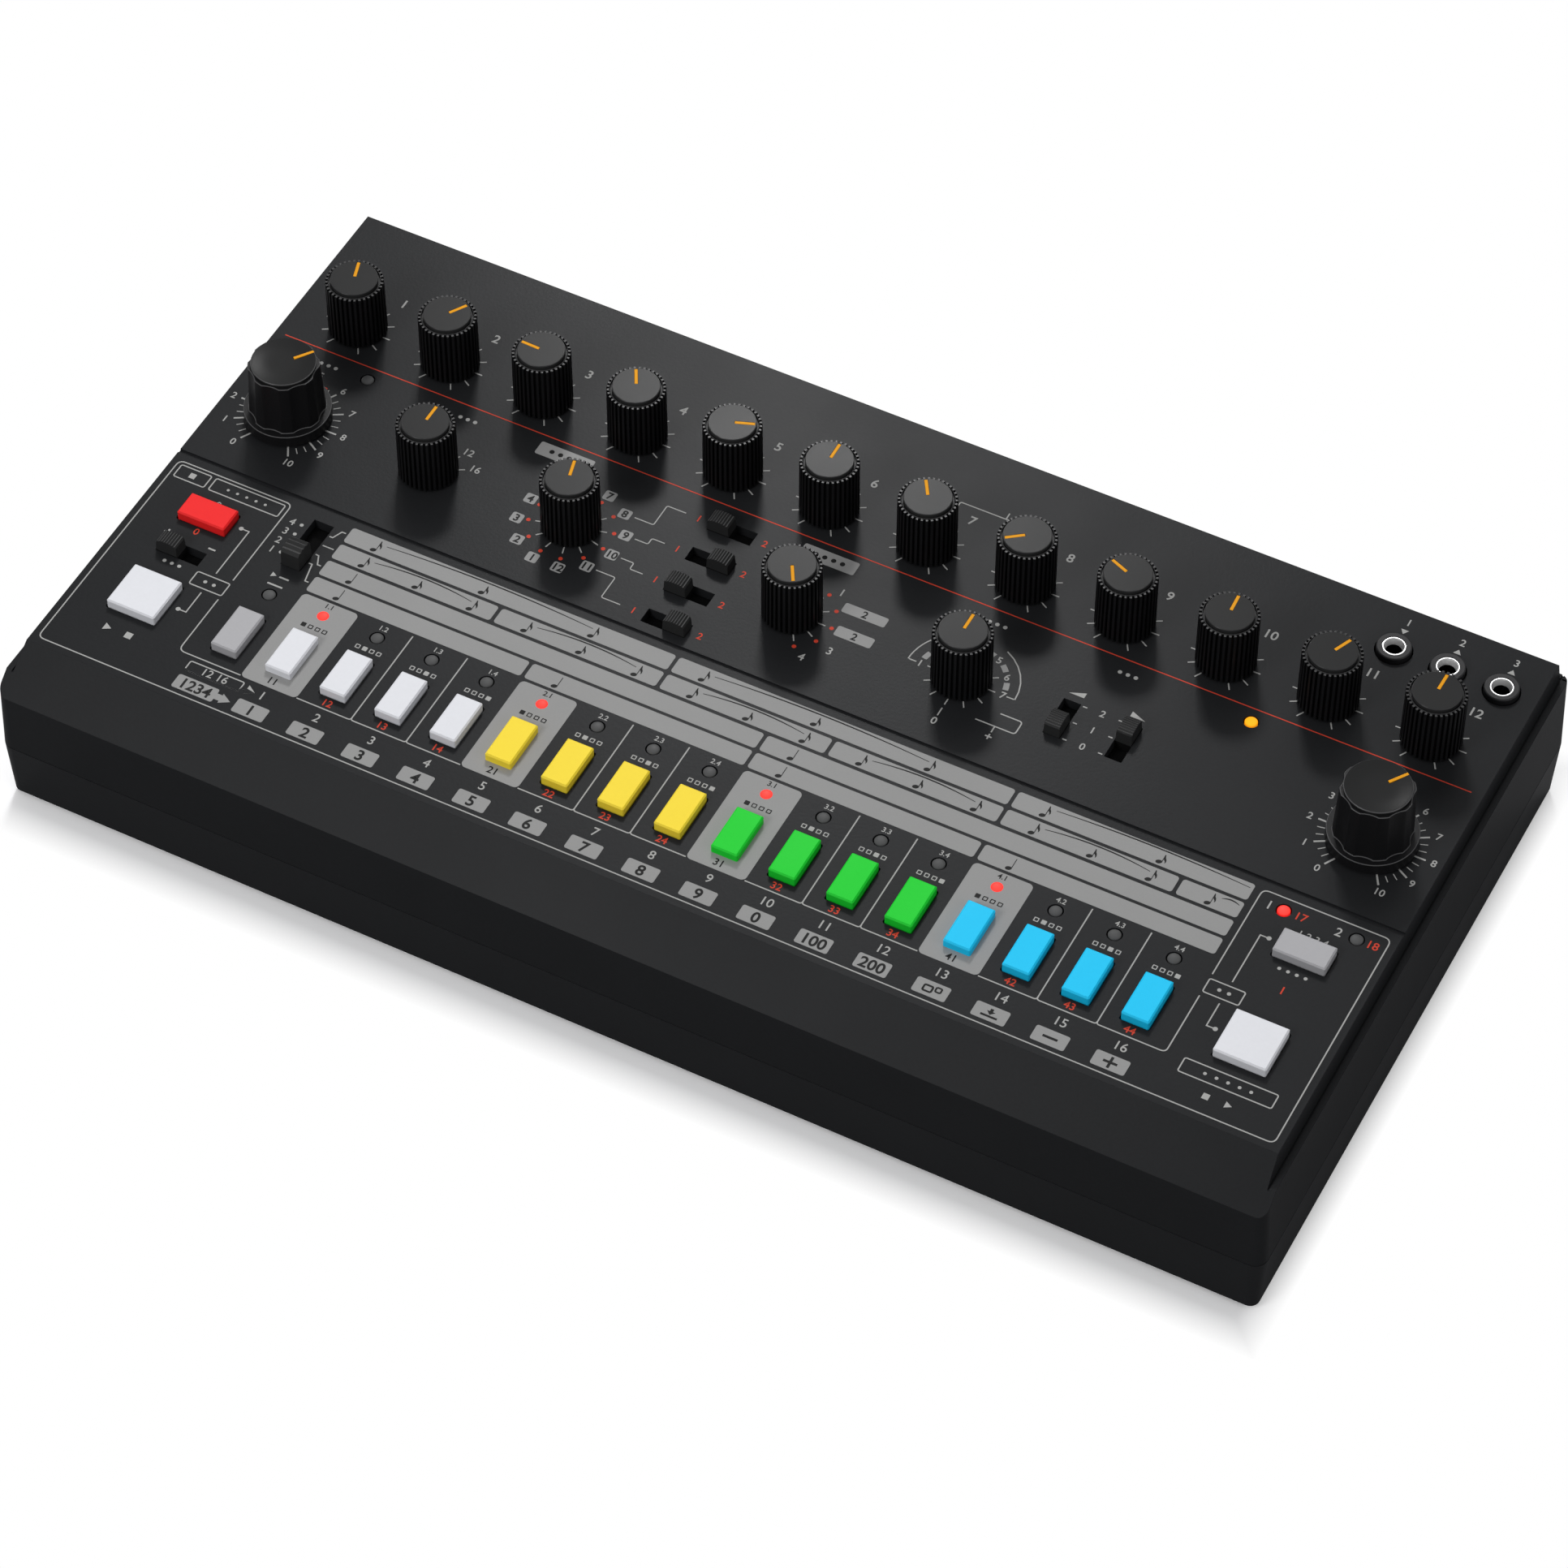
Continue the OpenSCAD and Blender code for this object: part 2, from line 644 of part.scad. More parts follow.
// Housing of one rotary control: a box with a round collar and the bore its shaft turns in
module rotary_body(x, y) {
    difference() {
        union() {
            block(x, y, pot_w, pot_d, board_top, pot_top);
            rod(x, y, pot_collar_r, pot_top - 1, under_z - 0.5);
        }
        rod(x, y, shaft_d / 2 + shaft_play, board_top + 1.5, under_z + 1);
    }
}

module rotary_control_bodies() {
    color(part_colour) {
        for (i = [0:11]) rotary_body((i - 5.5) * level_pitch, level_y);
        for (x = concat(small_knob_x, [-side_x, side_x])) rotary_body(x, row2_y);
    }
}

module tact_switch(x, y) {
    difference() {
        block(x, y, tact_w, tact_w, board_top, board_top + tact_h);
        rod(x, y, button_r + 0.15, board_top + 1.3, board_top + tact_h + 1);
    }
}

module tact_switches() {
    color(part_colour) {
        for (i = [-1:15]) tact_switch(key1_x + i * key_pitch, key_y);
        for (x = [-side_x, side_x], y = [key_y, low_key_y]) tact_switch(x, y);
    }
}

// Body of a slide switch that travels along X, with the slot of its slider
module slide_body(travel) {
    difference() {
        block(0, 0, travel + 9, 6.6, board_top, board_top + slide_body_h);
        block(0, 0, travel + 2, 2.6, board_top + 1.2, board_top + slide_body_h + 1);
    }
}

module slide_switch_bodies() {
    color(metal_colour) {
        for (i = [0:3]) translate([voice_x, row2_y + voice_y[i], 0]) slide_body(slide_travel);
        for (x = fade_x) translate([x, row2_y, 0]) rotate(90) slide_body(slide_travel);
        translate([-side_x, variation_y, 0]) slide_body(slide_travel);
        translate([cancel_x, scale_y, 0]) rotate(90) slide_body(3 * scale_step);
        difference() {
            block(power_x, sock_back - 4.6, power_travel + 13, 6, conn_top, power_z + 4);
            block(power_x, sock_back - 1.6, power_travel + 2.6, 5, power_z - 1.4, power_z + 1.4);
        }
    }
}

// Indicator lens with its flange, seen through the panel, on a plain spacer
module indicator(x, y) {
    lens_r = led_d / 2;
    translate([x, y, 0]) {
        rotate_extrude($fn = 48)
            polygon([[0, under_z - 2.7], [lens_r + 0.3, under_z - 2.7], [lens_r + 0.3, under_z - 1.7],
                [lens_r, under_z - 1.7], [lens_r, panel_z - 0.1], [lens_r * 0.9, panel_z + 0.1],
                [lens_r * 0.6, panel_z + 0.25], [0, panel_z + 0.32]]);
        rod(0, 0, lens_r + 0.4, board_top, under_z - 2.7 - seat_gap);
    }
}

module indicator_leds() {
    color([0.8, 0.1, 0.1]) for (p = led_places) indicator(p[0], p[1]);
}

// ---------- Sockets ----------

ring_r = 2.7;
// A mouth ring has a flat lip, and a throat that narrows to the bore at this depth
ring_lip = 0.35;
ring_dish = 1.6;
neck_chamfer = 0.25;
back_ring = wall_t + 0.8;
panel_ring = collar_rise + panel_t + 0.2;

// Sleeve jack along +Z with its mouth at z = 0: the bore runs from below the mouth ring to the depth
module jack_neck(neck_r, rim_r, ring_deep, depth) {
    difference() {
        union() {
            translate([0, 0, -depth]) cylinder(r = neck_r, h = depth - neck_chamfer);
            translate([0, 0, -neck_chamfer]) cylinder(r1 = neck_r, r2 = neck_r - neck_chamfer, h = neck_chamfer);
        }
        translate([0, 0, -ring_deep]) cylinder(r = rim_r, h = ring_deep + 1);
    }
}

// Bright mouth ring of a jack: a lip round a throat
module mouth_ring(bore, rim_r, ring_deep) {
    hole_r = bore / 2;
    out_r = rim_r - seat_gap;
    rotate_extrude() polygon([[hole_r, seat_gap - ring_deep], [out_r, seat_gap - ring_deep],
        [out_r, -0.15], [out_r - 0.1, -0.05], [out_r - ring_lip, -0.05], [hole_r, -ring_dish]]);
}

module panel_jack(x, y) {
    mouth_z = panel_z + collar_rise;
    bore_low = board_top + 0.9;
    translate([x, y, 0]) {
        color(part_colour) difference() {
            union() {
                block(0, 0, 9.2, 9.2, board_top, under_z - 0.6);
                translate([0, 0, mouth_z]) jack_neck(collar_d / 2, ring_r, panel_ring, mouth_z - under_z + 1.4);
            }
            rod(0, 0, jack_bore / 2, bore_low, mouth_z + 1);
            rod(0, 0, ring_r, mouth_z - panel_ring, mouth_z + 1);
        }
        color(metal_colour) translate([0, 0, mouth_z]) mouth_ring(jack_bore, ring_r, panel_ring);
    }
}

module panel_jacks() {
    for (i = [0:2]) panel_jack(jack_x - i * jack_pitch, jack_y);
}

// Turns a socket drawn along +Z so that its mouth faces the back at the given place
module facing_back(x, z) {
    translate([x, mouth_y, z]) rotate([-90, 0, 0]) children();
}

// Box behind the back wall, from the connector board up to a level
module sock_box(x, w, depth, z1) {
    block(x, sock_back - depth / 2, w, depth, conn_top, z1);
}

module voice_out(x) {
    bore_deep = 12.4;
    color(part_colour) difference() {
        union() {
            sock_box(x, 10, 11.8, voice_out_z + 5.2);
            facing_back(x, voice_out_z) jack_neck(voice_neck_r, ring_r, back_ring, 4);
        }
        facing_back(x, voice_out_z) {
            translate([0, 0, -bore_deep]) cylinder(r = jack_bore / 2, h = bore_deep + 1);
            translate([0, 0, -back_ring]) cylinder(r = ring_r, h = back_ring + 1);
        }
    }
    color(metal_colour) facing_back(x, voice_out_z) mouth_ring(jack_bore, ring_r, back_ring);
}

module mix_out(x) {
    bore_deep = 31;
    rim_r = 4.4;
    color(part_colour) difference() {
        union() {
            sock_box(x, 15.5, sock_back - board_back - 1, big_jack_z + 7.5);
            facing_back(x, big_jack_z) jack_neck(big_neck_r, rim_r, back_ring, 4);
            deep_rod(x, big_jack_z, 4.5, mouth_y - bore_deep - 1, board_back + 4);
        }
        facing_back(x, big_jack_z) {
            translate([0, 0, -bore_deep]) cylinder(r = big_jack_bore / 2, h = bore_deep + 1);
            translate([0, 0, -back_ring]) cylinder(r = rim_r, h = back_ring + 1);
        }
    }
    color(metal_colour) facing_back(x, big_jack_z) mouth_ring(big_jack_bore, rim_r, back_ring);
}

// Five-pin round socket: a ring slot for the plug's shell round a core with five pin holes
module midi_socket(x) {
    color(part_colour) difference() {
        union() {
            sock_box(x, 20, 14, midi_z + 8.3);
            facing_back(x, midi_z) translate([0, 0, -5]) cylinder(r = midi_neck_r, h = 5);
        }
        facing_back(x, midi_z) {
            difference() {
                translate([0, 0, -9]) cylinder(r = 6.75, h = 10);
                translate([0, 0, -10]) cylinder(r = 5.8, h = 10);
            }
            for (a = [0:45:180]) rotate(a) translate([3.75, 0, -8]) cylinder(r = 0.8, h = 9, $fn = 24);
            translate([-1.2, -6.2, -9]) cube([2.4, 1, 10]);
        }
    }
}

module dc_socket(x) {
    color(part_colour) difference() {
        union() {
            sock_box(x, 9.4, 14, dc_z + 5.4);
            facing_back(x, dc_z) translate([0, 0, -5]) cylinder(r = dc_neck_r, h = 5);
        }
        facing_back(x, dc_z) translate([0, 0, -10]) cylinder(r = 3.1, h = 11);
    }
    color(metal_colour) facing_back(x, dc_z) translate([0, 0, seat_gap - 10]) cylinder(r = 1.05, h = 9);
}

module usb_socket(x) {
    wide = 8.5;
    high = 7.8;
    corner = 1.6;
    color(metal_colour) difference() {
        union() {
            sock_box(x, 12, 15, usb_z + 5.4);
            block(x, mouth_y - 2, usb_neck_w, 4, usb_z - usb_neck_h / 2, usb_z + usb_neck_h / 2);
        }
        translate([x, mouth_y + 1, usb_z]) rotate([90, 0, 0]) linear_extrude(11)
            polygon([[-wide / 2, -high / 2], [wide / 2, -high / 2], [wide / 2, high / 2 - corner],
                [wide / 2 - corner, high / 2], [-wide / 2 + corner, high / 2], [-wide / 2, high / 2 - corner]]);
    }
    color("white") block(x, mouth_y - 5.5 + seat_gap, 5.6, 9, usb_z - 1.6, usb_z + 1.6);
}

module rear_sockets() {
    dc_socket(dc_x);
    usb_socket(usb_x);
    for (x = midi_x) midi_socket(x);
    mix_out(big_jack_x);
    for (x = voice_out_x) voice_out(x);
}

// ---------- Feet and screws ----------

module rubber_feet() {
    color([0.07, 0.07, 0.07]) for (p = foot_places) {
        rod(p[0], p[1], foot_d / 2, 0.3, base_z + foot_seat);
        translate([p[0], p[1], 0]) cylinder(r1 = foot_d / 2 - 0.3, r2 = foot_d / 2, h = 0.3);
    }
}

// Pan-head screw with a cross recess; its seat is at z = 0 and its head hangs below
module pan_screw(thread_d, head_d, len) {
    head_h = head_d * 0.38;
    difference() {
        union() {
            translate([0, 0, -head_h]) cylinder(r = head_d / 2, h = head_h, $fn = 48);
            cylinder(r = thread_d / 2, h = len, $fn = 32);
        }
        for (a = [0, 90]) rotate(a)
            translate([-head_d * 0.28, -0.35, -head_h - 1]) cube([head_d * 0.56, 0.7, 1 + head_h * 0.5]);
    }
}

module screws() {
    color(metal_colour) {
        for (p = posts) translate([p[0], p[1], head_seat_z])
            pan_screw(case_screw_d, case_head_d, parting_z - head_seat_z + screw_bite);
        for (p = board_bosses) translate([p[0], p[1], board_low])
            pan_screw(board_screw_d, board_head_d, board_t + 6);
        for (p = conn_screws) translate([p[0], p[1], conn_top]) rotate([180, 0, 0])
            pan_screw(board_screw_d, board_head_d, board_t + 6);
    }
}

// ---------- Knobs ----------

// Control shaft with its flat, from inside the control body to the seat in the knob
module shaft(seat) {
    low = board_top + 1.8 - panel_z;
    difference() {
        translate([0, 0, low]) cylinder(r = shaft_d / 2, h = seat - low - seat_gap);
        translate([shaft_d / 2 - flat_deep, -shaft_d, flat_z - 0.2]) cube([shaft_d, 2 * shaft_d, seat]);
    }
}

// Bore of a knob that takes the shaft, with the matching flat
module shaft_bore(seat) {
    difference() {
        translate([0, 0, -1]) cylinder(r = shaft_d / 2 + shaft_play, h = seat + 1);
        translate([shaft_d / 2 - flat_deep + shaft_play, -shaft_d, flat_z]) cube([shaft_d, 2 * shaft_d, seat + 1]);
    }
}

// Inlaid pointer line, or with no gap the groove it lies in
module pointer_bar(from_r, to_r, w, z0, z1, gap) {
    translate([from_r + gap, -w / 2 + gap, z0 + gap]) cube([to_r - from_r - 2 * gap, w - 2 * gap, z1 - z0 - gap]);
}

// Plan of the ribbed skirt
module rib_plan(root_r, tip_r) {
    union() {
        circle(root_r);
        for (i = [0:rib_count - 1]) rotate(i * 360 / rib_count)
            translate([root_r - 0.5, -0.31]) square([tip_r - root_r + 0.5, 0.62]);
    }
}

// Small knob: ribbed skirt with bevelled rib ends, a cap disc in a ring recess and a pointer line
module ribbed_knob(angle) {
    rim_z = knob_h - 0.7;
    tip_r = knob_d / 2;
    top_r = knob_top_d / 2;
    root_r = top_r - 0.45;
    cap_r = cap_d / 2;
    seat = knob_h - 4.2;
    rotate(angle) {
        color(knob_colour) difference() {
            intersection() {
                translate([0, 0, knob_lift]) linear_extrude(rim_z - knob_lift) rib_plan(root_r, tip_r + 1);
                rotate_extrude() polygon([[0, 0], [tip_r, 0], [tip_r, knob_lift + 0.2], [top_r, rim_z - 0.5],
                    [top_r - 0.15, rim_z - 0.15], [root_r - 0.1, rim_z], [0, rim_z]]);
            }
            translate([0, 0, rim_z - 0.5]) cylinder(r = root_r - 0.2, h = 1);
            difference() {
                cylinder(r = root_r - 1.1, h = seat);
                translate([0, 0, knob_lift + 1]) cylinder(r = shaft_d / 2 + 1.2, h = seat);
            }
            shaft_bore(seat);
        }
        color(cap_colour) difference() {
            rotate_extrude() polygon([[0, rim_z - 0.5 + seat_gap], [cap_r, rim_z - 0.5 + seat_gap],
                [cap_r, knob_h - 0.35], [cap_r - 0.35, knob_h], [0, knob_h]]);
            pointer_bar(0.5, cap_r - 0.35, line_w, knob_h - line_deep, knob_h + 1, 0);
        }
        color(pointer_colour) pointer_bar(0.5, cap_r - 0.35, line_w, knob_h - line_deep, knob_h, seat_gap);
        color(metal_colour) shaft(seat);
    }
}

module level_knob(i) {
    translate([(i - 5.5) * level_pitch, level_y, panel_z]) ribbed_knob(level_rest[i]);
}

module selector_knob(x, angle) {
    translate([x, row2_y, panel_z]) ribbed_knob(angle);
}

// Large knob: a round flange, a tapering body with flutes and a dished cap disc with a pointer line
module fluted_knob(angle) {
    rim_z = big_knob_h - 0.9;
    cap_r = big_cap_d / 2;
    seat = big_knob_h - 5;
    step = 360 / flute_count;
    rim_chamfer = 0.2;
    flute_at = body_d / 2 - flute_deep + flute_r;
    flute_top_r = flute_at - (body_top_d / 2 - flute_deep);
    flute_foot = knob_lift + flange_t - 0.6;
    rotate(angle) {
        color(knob_colour) difference() {
            union() {
                rotate_extrude() polygon([[0, knob_lift], [flange_d / 2, knob_lift],
                    [flange_d / 2, knob_lift + flange_t - 0.5], [flange_d / 2 - 0.5, knob_lift + flange_t],
                    [0, knob_lift + flange_t]]);
                difference() {
                    rotate_extrude() polygon([[0, knob_lift + flange_t - 1], [body_d / 2, knob_lift + flange_t - 1],
                        [body_top_d / 2, rim_z - rim_chamfer], [body_top_d / 2 - rim_chamfer, rim_z], [0, rim_z]]);
                    // The flutes start inside the flange, which closes their feet
                    for (i = [0:flute_count - 1]) rotate(i * step) translate([flute_at, 0, flute_foot])
                        cylinder(r1 = flute_r, r2 = flute_top_r, h = rim_z - flute_foot + small);
                }
            }
            difference() {
                cylinder(r = body_top_d / 2 - 2, h = seat);
                translate([0, 0, knob_lift + 1]) cylinder(r = shaft_d / 2 + 1.4, h = seat);
            }
            shaft_bore(seat);
        }
        color(cap_colour) difference() {
            rotate_extrude() polygon([[0, rim_z + seat_gap], [cap_r - 0.1, rim_z + seat_gap], [cap_r, big_knob_h - 0.3],
                [cap_r - 0.3, big_knob_h], [cap_r - 1, big_knob_h], [0, big_knob_h - 0.25]]);
            pointer_bar(3, cap_r + 1, line_w, big_knob_h - 0.25 - line_deep, big_knob_h + 1, 0);
        }
        color(pointer_colour)
            pointer_bar(3, cap_r, line_w, big_knob_h - 0.25 - line_deep, big_knob_h - 0.05, seat_gap);
        color(metal_colour) shaft(seat);
    }
}

module tempo_knob() {
    translate([-side_x, row2_y, panel_z]) fluted_knob(tempo_rest);
}

module volume_knob() {
    translate([side_x, row2_y, panel_z]) fluted_knob(volume_rest);
}

// ---------- Keys ----------

// Hollow key with a bevelled top, a rim below the panel, cross ribs and the switch button under its stem
module key(x, y, w, d, tint) {
    top = panel_z + key_rise;
    bevel = 0.35;
    plate_low = plate_top - plate_t;
    translate([x, y, 0]) {
        color(tint) difference() {
            union() {
                intersection() {
                    round_block(w, d, 0.4, plate_low, top);
                    run_deep(-d, d) polygon([[-w / 2, plate_low], [w / 2, plate_low], [w / 2, top - bevel],
                        [w / 2 - bevel, top], [-w / 2 + bevel, top], [-w / 2, top - bevel]]);
                    run_wide(-w, w) polygon([[-d / 2, plate_low], [d / 2, plate_low], [d / 2, top - bevel],
                        [d / 2 - bevel, top], [-d / 2 + bevel, top], [-d / 2, top - bevel]]);
                }
                block(0, 0, w + 2, d + 2, plate_low, plate_top);
            }
            difference() {
                block(0, 0, w - 2.4, d - 2.4, plate_low - 1, top - 1.4);
                block(0, 0, 1.2, d, plate_low - 2, top);
                block(0, 0, w, 1.2, plate_low - 2, top);
                rod(0, 0, button_r + 0.2, plate_low - 2, top);
            }
        }
        color(tint) rod(0, 0, button_r + 0.2, stem_foot, plate_low);
        color(part_colour) rod(0, 0, button_r, board_top + 2.4, stem_foot - seat_gap);
    }
}

module step_key(i) {
    key(key1_x + i * key_pitch, key_y, key_w, key_d, key_colours[floor(i / 4)]);
}

// ---------- Slide switch caps ----------

// Arched cap along X with ridges across its top; zero is the panel
function arch(s, half, rise, sag) = rise - sag * pow(abs(s) / half, 2.6);
function ridge_points(half, rise, sag, teeth, deep) = [for (i = [0:2 * teeth])
    let (s = -half + i * half / teeth)
    [s, arch(s, half, rise, sag) - (i % 2 == 0 ? deep : 0)]];

module slide_cap(len, w, rise, sag, teeth, deep, reach_low, reach_high) {
    half = len / 2;
    foot = plate_top - small;
    lean = 0.15;
    color(cap_colour) {
        intersection() {
            run_deep(-w / 2, w / 2) polygon(concat([[half, foot], [half, panel_z - 0.3]],
                [for (p = ridge_points(half - lean, rise, sag, teeth, deep)) [-p[0], panel_z + p[1]]],
                [[-half, panel_z - 0.3], [-half, foot]]));
            run_wide(-len, len) polygon([[-w / 2, foot - 1], [w / 2, foot - 1], [w / 2, panel_z],
                [w / 2 - lean, panel_z + rise + 1], [-w / 2 + lean, panel_z + rise + 1], [-w / 2, panel_z]]);
        }
        translate([-reach_low, -w / 2 - 1.2, plate_top - plate_t]) cube([reach_low + reach_high, w + 2.4, plate_t]);
        block(0, 0, 1.8, 2.2, board_top + 1.5, plate_top - plate_t);
    }
}

module short_slide_cap() {
    reach = slide_travel / 2 + slot_len / 2 + 0.5;
    slide_cap(slide_cap_len, slot_w - 2 * slide_gap, slide_cap_rise, slide_cap_sag, slide_cap_ridges, 0.25, reach, reach);
}

// Voice switches: the cap stands at the left or the right end
module voice_switch(i) {
    translate([voice_x + voice_side[i] * slide_travel / 2, row2_y + voice_y[i], 0]) short_slide_cap();
}

module variation_switch() {
    translate([-side_x - slide_travel / 2, variation_y, 0]) short_slide_cap();
}

// Fade switches: the cap stands at the front or the back end
module fade_switch(i) {
    translate([fade_x[i], row2_y + (i == 0 ? -1 : 1) * slide_travel / 2, 0]) rotate(90) short_slide_cap();
}

module scale_switch() {
    travel = 3 * scale_step;
    start_y = scale_y - travel / 2;
    reach = travel / 2 + scale_slot_len / 2 + 0.3;
    // The shield ends short of the indicator in front of the slot
    front_reach = min(reach, start_y - (led_y + led_d / 2) - 0.4);
    translate([cancel_x, start_y, 0]) rotate(90)
        slide_cap(slide_cap_len, scale_slot_w - 2 * slide_gap, scale_cap_rise, slide_cap_sag, scale_cap_ridges, 0.45,
            front_reach, reach);
}

// Power switch: flat knob with a shield plate inside the back wall
module power_switch() {
    color(part_colour) translate([power_x + power_travel / 2, 0, 0]) {
        block(0, (sock_back + mouth_y) / 2, power_knob_w, mouth_y - sock_back + 0.4, power_z - 1.8, power_z + 1.8);
        block(0, sock_back - 0.7, power_travel + power_opening_w + 1, 1, power_z - 2.6, power_z + 2.6);
        block(0, sock_back - 2.4, 2, 3, power_z - 1, power_z + 1);
    }
}

top_case();
bottom_case();
control_board();
connector_board();
rotary_control_bodies();
tact_switches();
slide_switch_bodies();
indicator_leds();
panel_jacks();
rear_sockets();
rubber_feet();
screws();
level_knob(0);  // level_knob_1
level_knob(1);  // level_knob_2
level_knob(2);  // level_knob_3
level_knob(3);  // level_knob_4
level_knob(4);  // level_knob_5
level_knob(5);  // level_knob_6
level_knob(6);  // level_knob_7
level_knob(7);  // level_knob_8
level_knob(8);  // level_knob_9
level_knob(9);  // level_knob_10
level_knob(10);  // level_knob_11
level_knob(11);  // level_knob_12
tempo_knob();
volume_knob();
selector_knob(measure_x, measure_rest);  // measure_knob
selector_knob(track_x, track_rest);  // track_knob
selector_knob(mode_x, mode_rest);  // pattern_mode_knob
selector_knob(fill_x, fill_rest);  // fill_in_knob
voice_switch(0);  // voice_switch_1
voice_switch(1);  // voice_switch_2
voice_switch(2);  // voice_switch_3
voice_switch(3);  // voice_switch_4
variation_switch();
scale_switch();
fade_switch(0);  // fade_in_switch
fade_switch(1);  // fade_out_switch
power_switch();
step_key(0);  // step_key_1
step_key(1);  // step_key_2
step_key(2);  // step_key_3
step_key(3);  // step_key_4
step_key(4);  // step_key_5
step_key(5);  // step_key_6
step_key(6);  // step_key_7
step_key(7);  // step_key_8
step_key(8);  // step_key_9
step_key(9);  // step_key_10
step_key(10);  // step_key_11
step_key(11);  // step_key_12
step_key(12);  // step_key_13
step_key(13);  // step_key_14
step_key(14);  // step_key_15
step_key(15);  // step_key_16
key(-side_x, key_y, square_key, square_key, "white");  // start_key
key(cancel_x, key_y, key_w, key_d, "silver");  // cancel_key
key(-side_x, low_key_y, square_key, low_key_d, "red");  // clear_key
key(side_x, low_key_y, square_key, low_key_d, "silver");  // pattern_key
key(side_x, key_y, square_key, square_key, "white");  // write_key
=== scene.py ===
# %% [markdown]
# # A tabletop drum machine, finished in Blender
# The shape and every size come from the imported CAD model, which is loaded as a fixed frame.
# Blender adds what CAD can't show: moulded plastic, ink, lit indicators, soft edges and light.
# Sizes below are written in millimetres and turned into metres by the value MM.

# %% Load the fixed frame
import json
import math
import bpy
import bmesh
from mathutils import Matrix, Vector


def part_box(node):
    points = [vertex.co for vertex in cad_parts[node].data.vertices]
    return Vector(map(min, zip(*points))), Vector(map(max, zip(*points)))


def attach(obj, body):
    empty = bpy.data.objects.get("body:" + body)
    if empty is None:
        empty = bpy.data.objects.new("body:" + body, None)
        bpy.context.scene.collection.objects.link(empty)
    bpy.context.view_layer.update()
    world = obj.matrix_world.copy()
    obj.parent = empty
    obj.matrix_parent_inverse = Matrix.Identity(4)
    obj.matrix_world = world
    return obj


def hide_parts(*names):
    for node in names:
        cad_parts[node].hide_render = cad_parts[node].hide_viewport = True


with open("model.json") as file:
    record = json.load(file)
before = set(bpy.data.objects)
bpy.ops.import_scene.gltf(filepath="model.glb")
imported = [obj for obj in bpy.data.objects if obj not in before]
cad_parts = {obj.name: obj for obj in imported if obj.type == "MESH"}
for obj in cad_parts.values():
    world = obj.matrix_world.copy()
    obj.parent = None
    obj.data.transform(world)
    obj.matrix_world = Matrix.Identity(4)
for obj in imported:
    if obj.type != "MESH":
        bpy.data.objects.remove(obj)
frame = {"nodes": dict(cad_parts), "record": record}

MM = 0.001
scene = bpy.context.scene
nodes = frame["nodes"]
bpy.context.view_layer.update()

# %% [markdown]
# ## Where the controls are
# The places repeat the plan of the CAD model: the centre of the case is x = 0, y = 0, and the
# top of the panel is PANEL. The print and the lamps use these values, and so do the angles at
# which the knobs rest. The knobs take their places from the CAD nodes themselves.

# %% Plan of the panel
PANEL = 42.2
CASE_X, CASE_Y = 152.85, 80.85
LEVEL_X = [24.25 * (i - 5.5) for i in range(12)]
LEVEL_Y = 45.5
ROW_Y = 14.25
MEASURE_X, TRACK_X, MODE_X, FILL_X = -96.9, -60.45, -5.2, 36.2
SIDE_X = 133.3
FADE_X = (60.4, 75.1)
JACK_X = (115.9, 128.65, 141.4)
PITCH = 13.7
KEY_X = [-95.8 + PITCH * i for i in range(16)]
BEATS = (0, 4, 8, 12)
LED_Y = -34.1
CANCEL_X = -109.5
LEVEL_REST = [108, 58, 178, 119, 21, 91, 122, 217, 158, 93, 66, 89]
SELECTOR_REST = {"measure_knob": 90, "track_knob": 105, "pattern_mode_knob": -60, "fill_in_knob": 90}
LARGE_REST = {"tempo_knob": 53, "volume_knob": 55}
print("controls planned:", len(LEVEL_X), "level knobs,", len(KEY_X), "step keys")

# %% [markdown]
# ## The camera
# A long lens far away keeps the sides of the box almost parallel, as in a catalogue picture.
# The camera is set by its place and its three axes, so that nothing is left to a tracking constraint.

# %% Camera
camera_data = bpy.data.cameras.new("catalogue_camera")
camera_data.sensor_width = 36.0
camera_data.lens = 130.70
camera_data.clip_start = 0.05
camera_data.clip_end = 20.0
camera = bpy.data.objects.new("catalogue_camera", camera_data)
scene.collection.objects.link(camera)
right = Vector((0.88656969, 0.46259503, -0.0001767))
up = Vector((-0.35546719, 0.68150205, 0.63968589))
back = Vector((0.29603593, -0.56706331, 0.76863641))
turned = Matrix((right, up, back)).transposed().to_4x4()
camera.matrix_world = Matrix.Translation(Vector((375.75, -719.28, 976.78)) * MM) @ turned
scene.camera = camera
scene.view_settings.view_transform = "Standard"
print("camera is", round(camera.location.length, 2), "m from the middle of the case")

# %% [markdown]
# ## Building node trees
# Materials, the floor and the world are all node trees. Two helpers keep them short: one fills a
# node's inputs with values or with the outputs of other nodes, the other adds a node first.

# %% Node helpers
def wire(tree, node, inputs):
    """Fill a node's inputs with values, or link them to the outputs of other nodes."""
    for name, value in inputs.items():
        if isinstance(value, bpy.types.NodeSocket):
            tree.links.new(value, node.inputs[name])
        else:
            node.inputs[name].default_value = value


def add_node(tree, kind, inputs=None, mode=None):
    """Add a shader node. The mode is a Mix node's data type, or else a maths operation."""
    node = tree.nodes.new("ShaderNode" + kind)
    if mode and kind == "Mix":
        node.data_type = mode
    elif mode:
        node.operation = mode
    wire(tree, node, inputs or {})
    return node


